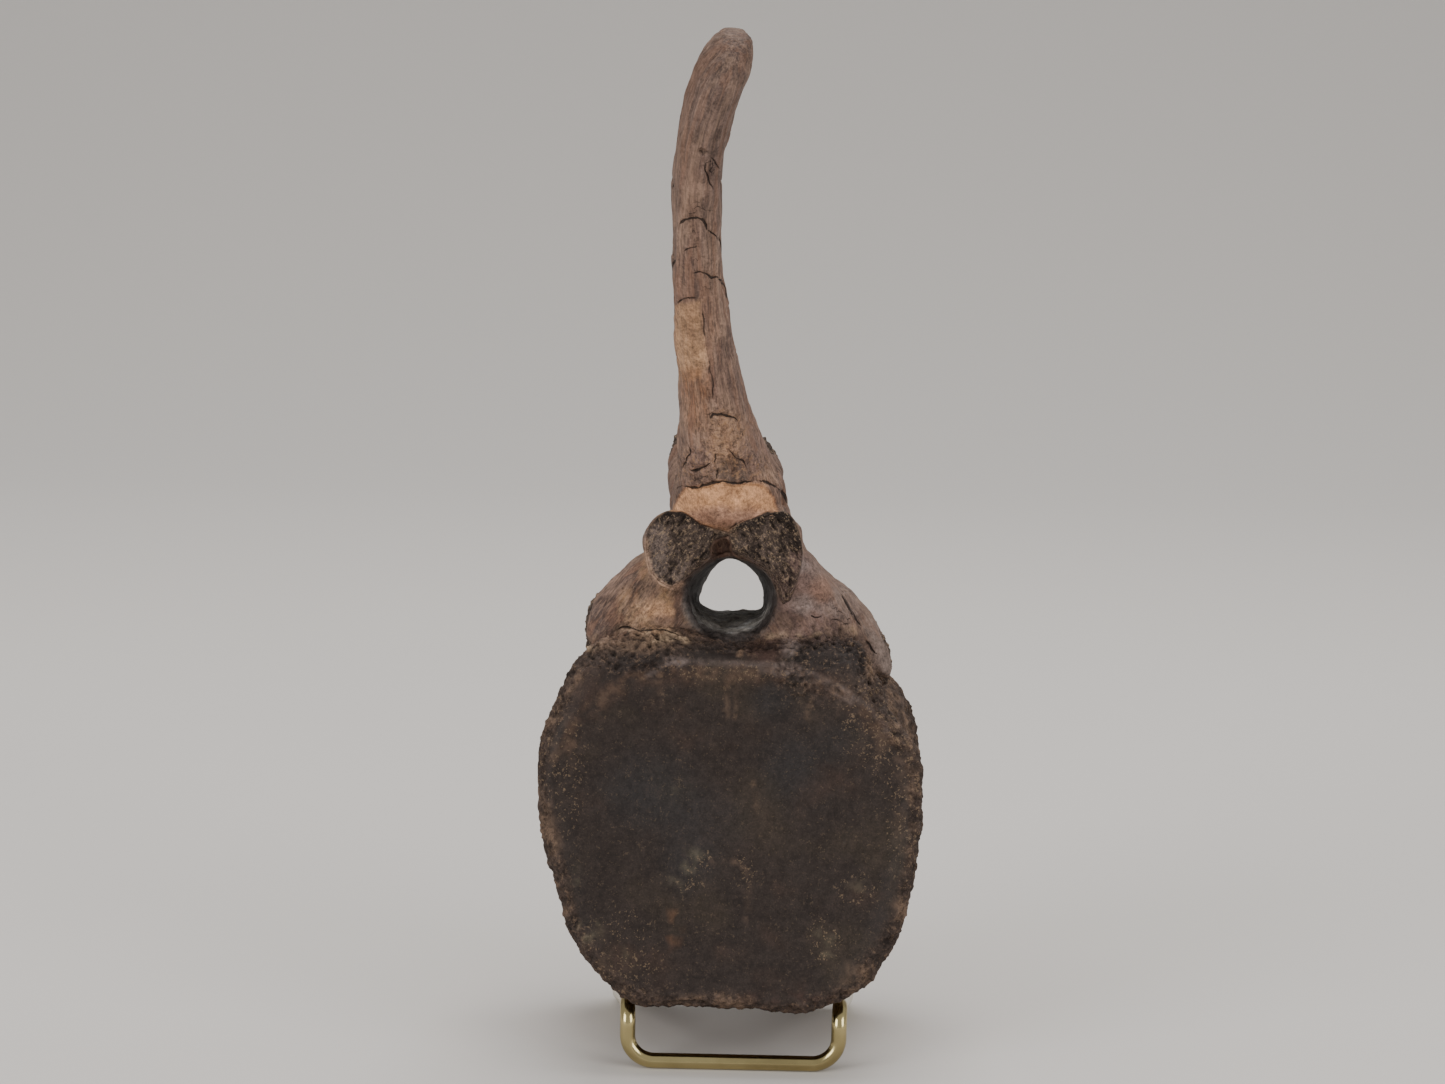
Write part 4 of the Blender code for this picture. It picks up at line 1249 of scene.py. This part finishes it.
def mark_face(ground, brush):
    """Broken-up marks and bluer clouds of the face, its rusty crest, and pale streaks."""
    face = brush.where.rear_face
    broken_up = rise(brush.fine + 0.6 * brush.patchy, -0.25, 0.45)
    seen_face = face * brush.where.facing
    ground = brush.marks(ground, seen_face * broken_up, FACE_MARKS)
    for centre, reach, share in FACE_CLOUDS:
        ground = over(ground, seen_face * brush.patch(centre, reach, share, 1.6), FACE_BLUE)
    rusty = 0.75 * rise(brush.fine, -0.5, 0.5)
    ground = over(ground, face * brush.line(CREST, 17) * rusty, FACE_RUST)
    ground = over(ground, face * brush.line(CREST, 10) * 0.25 * broken_up, RIM_TAN)
    for streak in FACE_STREAKS:
        ground = over(ground, face * brush.line(streak, 3, 2) * (0.1 + 0.22 * broken_up), RIM_TAN)
    return ground


def mark_canal(ground, brush):
    """Grey crust with a pale floor, partly painted light, and veins, dark patches and lip, and the hollow
    over it painted lighter against its shade.
    """
    where, patchy = brush.where, brush.patchy
    canal = where.canal
    bottom = rise(61 - where.z, 0, 4) * rise(where.y, 8, 16) * (1 - 0.6 * rise(where.y, 40, 54))
    ground = coated(ground, (
        (canal, CANAL_GREY),
        # the floor's pale colour is partly crust and partly painted light
        (canal * bottom, CANAL_FLOOR_CRUST_AND_LIGHT),
        (canal * 0.55 * rise(patchy, 0.0, 0.5), CANAL_DARK),
        (canal * bottom * 0.8 * rise(brush.fine + 0.5 * patchy, 0.15, 0.6), CANAL_PALE),
    ))
    ground = brush.marks(ground, canal, CANAL_MARKS)
    ground = over(ground, 0.9 * lip_share(where), CANAL_DARK)
    # painted light: the hollow over the canal lighter than its dark red, lifting its shade
    return over(ground, brush.low * brush.patch(*FOSSA), FOSSA_RED_AND_LIGHT)


def mark_breaks(ground, brush, broken):
    """Grey-brown breaks with their marks, dark upper edges, a pale lower one, and the bridge."""
    seen = brush.where.seen
    ground = over(ground, rise(broken, -0.3, 0.3), BREAK_GREY)
    ground = brush.marks(ground, rise(broken, 0.0, 0.6), BREAK_MARKS)
    tops = np.maximum(stroke(seen, LEFT_BREAK_TOP, 7), stroke(seen, RIGHT_BREAK_TOP, 11))
    return coated(ground, (
        (rise(broken, -0.4, 0.6) * brush.patch(*BREAK_FOOT), FIBRE_BROWN),
        (rise(broken, -0.4, 0.0) * tops * 0.85, BREAK_DARK),
        (brush.line(LEFT_BREAK_FOOT, 3.5) * brush.low * 0.9, SPINE_TAN),
        (brush.line(BREAK_BRIDGE, 5) * brush.low * 0.6, RIM_TAN),
    ))


def speck_share(where):
    """How thickly pale specks lie on each part."""
    share = 0.25 * np.maximum(where.rear_face, where.front_face)
    for centre, reach, amount in SPECKS:
        share = np.maximum(share, amount * spot(where.seen, centre, reach, 1.0) * where.facing)
    return share * (1 - rise(where.y, 14, 18)) + 0.2 * where.front_face


def fibrous_share(where, broken):
    """How plainly fibres show: the spine and the arch, less on breaks, pale parts and the tip."""
    arch = (0.55 + 0.4 * rise(-where.x, 18, 26)) * arch_share(where) * (1 - rise(broken, -0.4, 0.1))
    worn = (1 - 0.75 * band_share(where)) * (1 - 0.6 * streak_share(where))
    rooted = (1 - 0.4 * root_share(where)) * (1 - 0.35 * rise(where.along, 80, 140))
    return np.maximum(where.spine, arch) * worn * rooted


def relieved(box):
    """The bare bone with its relief, inside the box and clear of the wire, and with fewer faces."""
    mesh = bare_bone()
    where = places_of(mesh)
    across, width = crack_fields(where)
    broken = broken_field(where)
    small = fine_relief(where, broken)
    height = small + relief(where, across, width, broken)
    shaped = held_in(where.points + where.normals * height[:, None], box)
    mesh.vertices.foreach_set("co", clear_of_wire(shaped).ravel())
    mesh.update()
    # the material darkens hollows and lightens lumps by this: painted shade and painted light
    store(mesh, "hollow", np.clip(-small / HOLLOW_DEPTH, -1, 1))
    item = placed("thinned", mesh)
    thin = item.modifiers.new("fewer faces", "DECIMATE")
    mesh.calc_loop_triangles()
    thin.ratio = min(1.0, BONE_TRIANGLES / len(mesh.loop_triangles))
    return finished(item)


def vertebra(box):
    """The bone in its place, with the fields that its material reads."""
    mesh = relieved(box)
    where = places_of(mesh)
    broken = broken_field(where)
    rim = rim_share(where)
    across, width = crack_fields(where)
    store(mesh, "crack_across", across)
    store(mesh, "crack_width", width)
    store(mesh, "broken", broken)
    store(mesh, "fibrous", fibrous_share(where, broken))
    store(mesh, "margin", np.maximum(rim, shoulder_share(where)))
    store(mesh, "root", root_share(where))
    store(mesh, "polish", np.maximum(where.rear_face, where.front_face) * (1 - rim))
    store(mesh, "specks", speck_share(where))
    store(mesh, "fibre", where.fibre, "FLOAT_VECTOR", "vector")
    ground = painted(where, broken)
    opaque = np.ones((len(ground), 1))
    store(mesh, "ground", np.concatenate([ground, opaque], axis=1), "FLOAT_COLOR", "color")
    mesh.transform(Matrix.Scale(MM, 4) @ BONE_PLACE)
    mesh.name = "fossil_bone"
    mesh.shade_smooth()
    mesh.materials.append(bone_finish())
    return placed("fossil_bone", mesh)


# Wire stand


def rounded(corners, radii, step):
    """A path through the corners, each but the ends turned into an arc of its radius."""
    path = [corners[0]]
    for before, corner, after, radius in zip(corners, corners[1:], corners[2:], radii):
        into = (corner - before) / np.linalg.norm(corner - before)
        out = (after - corner) / np.linalg.norm(after - corner)
        turn = math.acos(float(into @ out))
        start = corner - into * radius * math.tan(turn / 2)
        side = out - into * float(into @ out)
        side /= np.linalg.norm(side)
        bend = np.linspace(0, turn, max(3, round(turn / step)) + 1)[:, None]
        path.extend(start + radius * (np.sin(bend) * into + (1 - np.cos(bend)) * side))
    path.append(corners[-1])
    return np.array(path)


def half_wire_path(step):
    """From the middle of the front bar to the middle of the back rest's top, on the right."""
    lean = math.tan(TILT)
    top_y = ELBOW_Y + lean * BACK_TOP_Z
    corners = np.array([
        (0, POST_Y, WIRE / 2), (POST_X, POST_Y, WIRE / 2), (POST_X, POST_Y, BEND_Z),
        (ELBOW_X, ELBOW_Y, WIRE / 2), (BACK_TOP_X, top_y, BACK_TOP_Z), (0, top_y, BACK_TOP_Z),
    ])
    return rounded(corners, (FLOOR_CORNER, POST_CORNER, ELBOW_CORNER, TOP_CORNER), step)


def whole_loop(half):
    """The right half of the loop, joined to its mirror image in x and set to the stand's middle."""
    loop = np.concatenate([half, half[-2:0:-1] * np.array([-1, 1, 1])])
    return loop + np.array([STAND_X, 0, 0])


def wire_path(step):
    """The middle line of the whole closed loop."""
    return whole_loop(half_wire_path(step))


def wire_stand():
    """A circle carried along the loop, turned with it as little as its bends need."""
    path = half_wire_path(math.radians(4))
    tangents = np.gradient(path, axis=0)
    tangents /= np.linalg.norm(tangents, axis=1)[:, None]
    tangents[0], tangents[-1] = (1, 0, 0), (-1, 0, 0)
    angle = angles(WIRE_SIDES)
    normal = np.array([0.0, 0.0, 1.0])
    rings = []
    for middle, tangent in zip(path, tangents):
        normal = normal - tangent * (normal @ tangent)
        normal /= np.linalg.norm(normal)
        side = np.cross(tangent, normal)
        circle = np.outer(np.cos(angle), normal) + np.outer(np.sin(angle), side)
        rings.append(middle + WIRE / 2 * circle)
    loop = whole_loop(np.array(rings))
    faces = grid_faces(len(loop), WIRE_SIDES, closed_rows=True, closed_columns=True)
    mesh = bpy.data.meshes.new("brass_wire")
    mesh.from_pydata((loop.reshape(-1, 3) * MM).tolist(), [], faces)
    mesh.shade_smooth()
    mesh.materials.append(brass_finish())
    return placed("brass_wire", mesh)


# Shader maths


class Field:
    """A socket's number; + - *, size, least, most and rise add the nodes for it."""

    def __init__(self, finish, socket):
        self.finish = finish
        self.socket = socket

    def math(self, operation, first, second):
        """A Math node of two fields or numbers."""
        made = self.finish.node("ShaderNodeMath", {"operation": operation}, {0: first, 1: second})
        return Field(self.finish, made.outputs[0])

    def __add__(self, other):
        return self.math("ADD", self, other)

    __radd__ = __add__

    def __sub__(self, other):
        return self.math("SUBTRACT", self, other)

    def __rsub__(self, other):
        return self.math("SUBTRACT", other, self)

    def __mul__(self, other):
        return self.math("MULTIPLY", self, other)

    __rmul__ = __mul__

    def size(self):
        return self.math("ABSOLUTE", self, 0.0)

    def least(self, other):
        return self.math("MINIMUM", self, other)

    def most(self, other):
        return self.math("MAXIMUM", self, other)

    def rise(self, low, high):
        """0 below low, 1 above high, smooth between; either may be a field."""
        made = self.finish.node(
            "ShaderNodeMapRange", {"interpolation_type": "SMOOTHSTEP"},
            {"Value": self, "From Min": low, "From Max": high},
        )
        return Field(self.finish, made.outputs["Result"])


class Finish:
    """One material and the nodes put into it."""

    def __init__(self, name, **constants):
        self.material = bpy.data.materials.new(name)
        self.material.use_nodes = True
        self.tree = self.material.node_tree
        self.shader = self.tree.nodes["Principled BSDF"]
        for socket, value in constants.items():
            self.shader.inputs[socket.replace("_", " ")].default_value = value
        self.place = self.node("ShaderNodeTexCoord").outputs["Object"]

    def node(self, kind, settings=(), sockets=()):
        """A node of this kind, its settings made first, then its sockets set or linked."""
        made = self.tree.nodes.new(kind)
        for name, value in dict(settings).items():
            setattr(made, name, value)
        for name, value in dict(sockets).items():
            if isinstance(value, Field):
                value = value.socket
            if isinstance(value, bpy.types.NodeSocket):
                self.tree.links.new(value, made.inputs[name])
            else:
                made.inputs[name].default_value = value
        return made

    def number(self, name):
        """The mesh's numbers of this name."""
        made = self.node("ShaderNodeAttribute", {"attribute_name": name})
        return Field(self, made.outputs["Fac"])

    def vector(self, name):
        """The mesh's colours or vectors of this name."""
        return self.node("ShaderNodeAttribute", {"attribute_name": name}).outputs["Vector"]

    def noise(self, per_mm, detail=3.0, roughness=0.55, at=None):
        """Noise of 0 to 1 with this many waves a millimetre, on the object or on given vectors."""
        made = self.node("ShaderNodeTexNoise", {}, {
            "Vector": self.place if at is None else at,
            "Scale": per_mm / MM if at is None else per_mm,
            "Detail": detail, "Roughness": roughness,
        })
        return Field(self, made.outputs[0])

    def cells(self, per_mm, feature="F1"):
        """Distance to the nearest of scattered spots, or to the wall between two of them."""
        made = self.node(
            "ShaderNodeTexVoronoi", {"feature": feature}, {"Vector": self.place, "Scale": per_mm / MM}
        )
        return Field(self, made.outputs["Distance"])

    def mix(self, share, ground, tint):
        """The ground colour with this share of the tint over it."""
        made = self.node("ShaderNodeMix", {"data_type": "RGBA"}, {"Factor": share})
        for socket, value in ((made.inputs[6], ground), (made.inputs[7], tint)):
            if isinstance(value, bpy.types.NodeSocket):
                self.tree.links.new(value, socket)
            else:
                socket.default_value = (*value, 1)
        return made.outputs[2]

    def dimmed(self, ground, share):
        """A colour made darker by this share."""
        made = self.node("ShaderNodeVectorMath", {"operation": "SCALE"}, {0: ground, "Scale": share})
        return made.outputs[0]

    def stretched(self, vector, times):
        """A vector with each of its numbers multiplied."""
        made = self.node("ShaderNodeVectorMath", {"operation": "MULTIPLY"}, {0: vector, 1: times})
        return made.outputs[0]

    def strokes(self, tone, rows):
        """The tone with a share of a tint over it for each row."""
        for share, tint in rows:
            tone = self.mix(share, tone, tint)
        return tone

    def bump(self, height_mm, strength):
        """Small relief from a height in millimetres."""
        made = self.node("ShaderNodeBump", {}, {
            "Height": height_mm, "Distance": MM, "Strength": strength,
        })
        self.feed("Normal", made.outputs["Normal"])

    def feed(self, socket, value):
        """Leads a field or a colour to a socket of the shader."""
        if isinstance(value, Field):
            value = value.socket
        self.tree.links.new(value, self.shader.inputs[socket])


def bone_grain(bone):
    """The mesh's own fields and the noises that the bone's colour, relief and gloss share."""
    grain = SimpleNamespace()
    for name in ("fibrous", "margin", "polish", "specks", "hollow", "root"):
        setattr(grain, name, bone.number(name))
    grain.spongy = bone.number("broken").rise(-0.25, 0.15)
    grain.mottled = bone.noise(0.42, 3.0, 0.6)
    grain.grainy = bone.noise(1.0, 3.0, 0.65)
    grain.fine = bone.noise(2.2, 2.0, 0.6)
    fibre = bone.vector("fibre")
    grain.strands = bone.noise(0.9, 3.0, 0.7, at=fibre)
    grain.threads = bone.noise(2.2, 2.0, 0.6, at=fibre)
    grain.bundles = bone.noise(0.35, 2.0, 0.5, at=fibre)
    grain.crumbs = bone.noise(0.62, 4.0, 0.72)
    grain.grit = bone.noise(1.7, 2.0, 0.7)
    grain.rubble = grain.crumbs * 0.62 + grain.grit * 0.38
    slanted = bone.stretched(fibre, BREAK_SLANT)
    grain.furrows = bone.noise(1.1, 4.0, 0.75, at=slanted) * 0.65 + grain.grit * 0.35
    grain.wall = bone.cells(0.8, "DISTANCE_TO_EDGE").rise(0.0, 0.3)
    grain.pit = bone.cells(0.62).rise(0.12, 0.42)
    width = bone.number("crack_width")
    ragged = (grain.grainy - 0.5) * 0.35
    off_crack = (bone.number("crack_across") + ragged).size() - width
    grain.crack = (1 - off_crack.rise(-0.12, 0.14)) * width.rise(0.03, 0.12)
    return grain


def grained_ground(bone, grain):
    """The ground colour dimmed by clouds, mottles and grains, less so on the polished faces; painted
    shade darkens small hollows and painted light brightens lumps.
    """
    light = 0.22 + 0.36 * bone.noise(0.16, 4.0, 0.6).rise(0.3, 0.7)
    light = light + 0.4 * grain.mottled.rise(0.34, 0.66) + 0.5 * grain.grainy.rise(0.34, 0.66)
    light = light + 0.34 * grain.fine.rise(0.34, 0.66)
    light = light + grain.polish * 0.45 * (1.02 - light)
    # painted shade in hollows and painted light on lumps
    return bone.dimmed(bone.vector("ground"), light * (1 - grain.hollow * 0.5))


def fibre_strokes(grain):
    """Pale and dark fibres, in wide bundles, strands and thin threads."""
    fibrous, bundles, strands, threads = grain.fibrous, grain.bundles, grain.strands, grain.threads
    return (
        (fibrous * bundles.rise(0.5, 0.62) * 0.35, SPINE_TAN),
        (fibrous * strands.rise(0.5, 0.64) * 0.35, SPINE_TAN),
        (fibrous * threads.rise(0.54, 0.66) * 0.4, SPINE_TAN),
        (fibrous * (1 - bundles.rise(0.36, 0.5)) * 0.45, SPINE_RED),
        (fibrous * (1 - threads.rise(0.37, 0.48)) * 0.6, FIBRE_DARK),
        (fibrous * (1 - strands.rise(0.36, 0.5)) * 0.4, FIBRE_BROWN),
    )


def break_strokes(grain):
    """Pale crests and dark furrows of the breaks, dark hollows, and crumbs of the spine's root: grain,
    with painted highlight on the crests and painted shade in furrows and hollows.
    """
    spongy, furrows, root, rubble = grain.spongy, grain.furrows, grain.root, grain.rubble
    hollow = grain.hollow
    return (
        # lighter on crests, darker in furrows and hollows: painted highlight and shade
        (spongy * furrows.rise(0.53, 0.575) * (0.66 - hollow * 0.38), BREAK_TAN),
        (spongy * (1 - furrows.rise(0.42, 0.47)) * (0.6 + hollow * 0.4), CRACK_AND_SHADE_DARK),
        (hollow.rise(0.25, 1.0) * spongy.most(grain.margin) * 0.45, CRACK_AND_SHADE_DARK),
        (root * rubble.rise(0.52, 0.58) * 0.45, STREAK_TAN),
        (root * (1 - rubble.rise(0.42, 0.48)) * (0.5 + hollow * 0.3), FIBRE_DARK),
    )


def margin_strokes(grain):
    """Dark pits, pale crumbs and dark gaps of the margins and shoulders: tan crumbs with painted
    highlight, and painted shade in the pits and gaps.
    """
    margin, rubble = grain.margin, grain.rubble
    return (
        # darker in pits and gaps, lighter on crests: painted shade and highlight
        (margin * (1 - grain.pit) * 0.35, FIBRE_DARK),
        (margin * rubble.rise(0.52, 0.6) * (0.45 - grain.hollow * 0.35), RIM_TAN),
        (margin * (1 - rubble.rise(0.4, 0.47)) * 0.45, CRACK_AND_SHADE_DARK),
    )


def face_strokes(grain):
    """Pale flecks where specks lie, and brown dust on the polished faces."""
    fleck = grain.crumbs * 0.5 + grain.grit * 0.5 + grain.specks * 0.05
    dust = (grain.fine * 0.6 + grain.mottled * 0.4).rise(0.52, 0.62)
    return (
        (fleck.rise(0.585, 0.625) * grain.specks.rise(0.1, 0.5) * 0.6, FLECK_TAN),
        (grain.polish * dust * 0.3, RIM_BROWN),
    )


def bone_height(grain):
    """The grain's height in millimetres: less on the polished faces, and sunken at cracks."""
    height = grain.mottled * 0.25 + grain.grainy * 0.24 + grain.fine * 0.08
    fibres = grain.strands * 0.5 + grain.threads * 0.2 + grain.bundles * 0.3
    height = height + grain.fibrous * fibres
    height = height + grain.spongy * (grain.furrows * 2.5 - grain.wall * 0.2)
    height = height + grain.root * grain.rubble * 1.2
    height = height + grain.margin * (grain.pit * 0.35 + grain.rubble * 1.1)
    return height * (1 - grain.polish * 0.45) - grain.crack * 0.5


def bone_finish():
    """Ground colours with fine grain: fibres on the spine, furrows on breaks, pits, specks, cracks,
    and painted highlight and shade that follow the relief.
    """
    bone = Finish("fossil_bone", Roughness=0.6, Metallic=0.0, Specular_IOR_Level=0.14)
    grain = bone_grain(bone)
    tone = grained_ground(bone, grain)
    for part_strokes in (fibre_strokes, break_strokes, margin_strokes, face_strokes):
        tone = bone.strokes(tone, part_strokes(grain))
    # cracks painted dark, and the grooves under the shoulders' ledges painted as their shadow
    bone.feed("Base Color", bone.mix(grain.crack * 0.92, tone, CRACK_AND_SHADE_DARK))
    bone.bump(bone_height(grain), 0.9)
    rough = 0.62 - grain.polish * 0.08 + (grain.grainy - 0.5) * 0.16
    rough = rough + grain.spongy * 0.15 + grain.margin * 0.08
    bone.feed("Roughness", rough.most(0.3).least(0.9))
    return bone.material


def brass_finish():
    """Pale polished plating with faint drawing lines and handling marks."""
    brass = Finish("brass_wire", Metallic=1.0, Roughness=0.15)
    clouds = brass.noise(0.08, 3.0)
    marks = brass.noise(0.9, 2.0)
    tone = brass.mix(clouds.rise(0.35, 0.7), BRASS_PALE, BRASS_DEEP)
    tone = brass.mix(marks.rise(0.68, 0.8) * 0.3, tone, BRASS_MARK)
    brass.feed("Base Color", tone)
    brass.feed("Roughness", 0.08 + clouds * 0.1 + marks * 0.08)
    brass.bump(brass.noise(0.35, 2.0) * 0.05 + marks * 0.012, 0.6)
    return brass.material


# Surroundings


def sweep():
    """A pale floor that curves up into a wall: a flat run, a quarter circle, a rise."""
    bend = np.linspace(0, math.pi / 2, 25)[1:-1]
    bend_y = SWEEP_WALL_Y - SWEEP_RADIUS
    flat, upright = [-SWEEP_REACH, 0.0, bend_y], [SWEEP_WALL_Y] * 2
    depth = np.concatenate([flat, bend_y + SWEEP_RADIUS * np.sin(bend), upright])
    turned = SWEEP_RADIUS - SWEEP_RADIUS * np.cos(bend)
    height = np.concatenate([[0.0] * 3, turned, [SWEEP_RADIUS, SWEEP_TOP]])
    x, y = np.meshgrid(np.linspace(-SWEEP_REACH, SWEEP_REACH, 9), depth)
    z = np.broadcast_to(height[:, None], x.shape)
    mesh = bpy.data.meshes.new("sweep")
    mesh.from_pydata(np.stack([x, y, z], axis=-1).reshape(-1, 3).tolist(), [], grid_faces(*x.shape))
    mesh.shade_smooth()
    mesh.materials.append(paper_finish())
    return placed("sweep", mesh)


def paper_finish():
    """Pale paper with slow clouds, and painted shade that makes it a little darker farther back."""
    paper = Finish("sweep_paper", Roughness=0.9)
    tone = paper.mix(paper.noise(0.002, 3.0).rise(0.3, 0.7), PAPER_GREY, PAPER_PALE)
    depth = Field(paper, paper.node("ShaderNodeSeparateXYZ", {}, {0: paper.place}).outputs["Y"])
    # painted shade: darker farther back
    paper.feed("Base Color", paper.mix(depth.rise(-0.2, 1.2), tone, PAPER_FAR_SHADE))
    return paper.material


def soft_light(name, at, aim, size, power):
    """A square area light turned towards a point."""
    lamp = bpy.data.lights.new(name, "AREA")
    lamp.shape = "SQUARE"
    lamp.size = size
    lamp.energy = power
    item = placed(name, lamp)
    item.location = at
    way = np.array(at) - np.array(aim)
    item.rotation_euler = (
        math.acos(way[2] / np.linalg.norm(way)), 0, math.atan2(way[1], way[0]) + math.pi / 2
    )
    item.visible_camera = False


def lights():
    """The lamps, and even light from all round."""
    for lamp in LAMPS:
        soft_light(*lamp)
    world = bpy.data.worlds.new("studio")
    world.use_nodes = True
    backdrop = world.node_tree.nodes["Background"]
    backdrop.inputs["Color"].default_value = ROOM_TINT
    backdrop.inputs["Strength"].default_value = ROOM_LIGHT
    bpy.context.scene.world = world


def camera():
    """The camera at the photograph's place."""
    lens = bpy.data.cameras.new("camera")
    lens.lens, lens.sensor_width = LENS, SENSOR
    item = placed("camera", lens)
    place = CAMERA_PLACE.copy()
    place.translation *= MM
    item.matrix_world = place
    bpy.context.scene.camera = item


def plain(corners):
    """Two corners of a box as plain lists."""
    return [list(corner) for corner in corners]


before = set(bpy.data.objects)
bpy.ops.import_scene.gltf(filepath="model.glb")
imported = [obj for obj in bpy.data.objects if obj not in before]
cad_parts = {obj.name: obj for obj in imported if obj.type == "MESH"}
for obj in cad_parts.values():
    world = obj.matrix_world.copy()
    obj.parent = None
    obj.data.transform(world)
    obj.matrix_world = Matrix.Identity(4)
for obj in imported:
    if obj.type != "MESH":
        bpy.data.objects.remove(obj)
cad_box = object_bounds()

bone = vertebra(plain(cad_box))
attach(bone, "root")
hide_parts("vertebra")

wire = wire_stand()
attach(wire, "root")
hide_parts("wire_stand")

sweep()
lights()
camera()
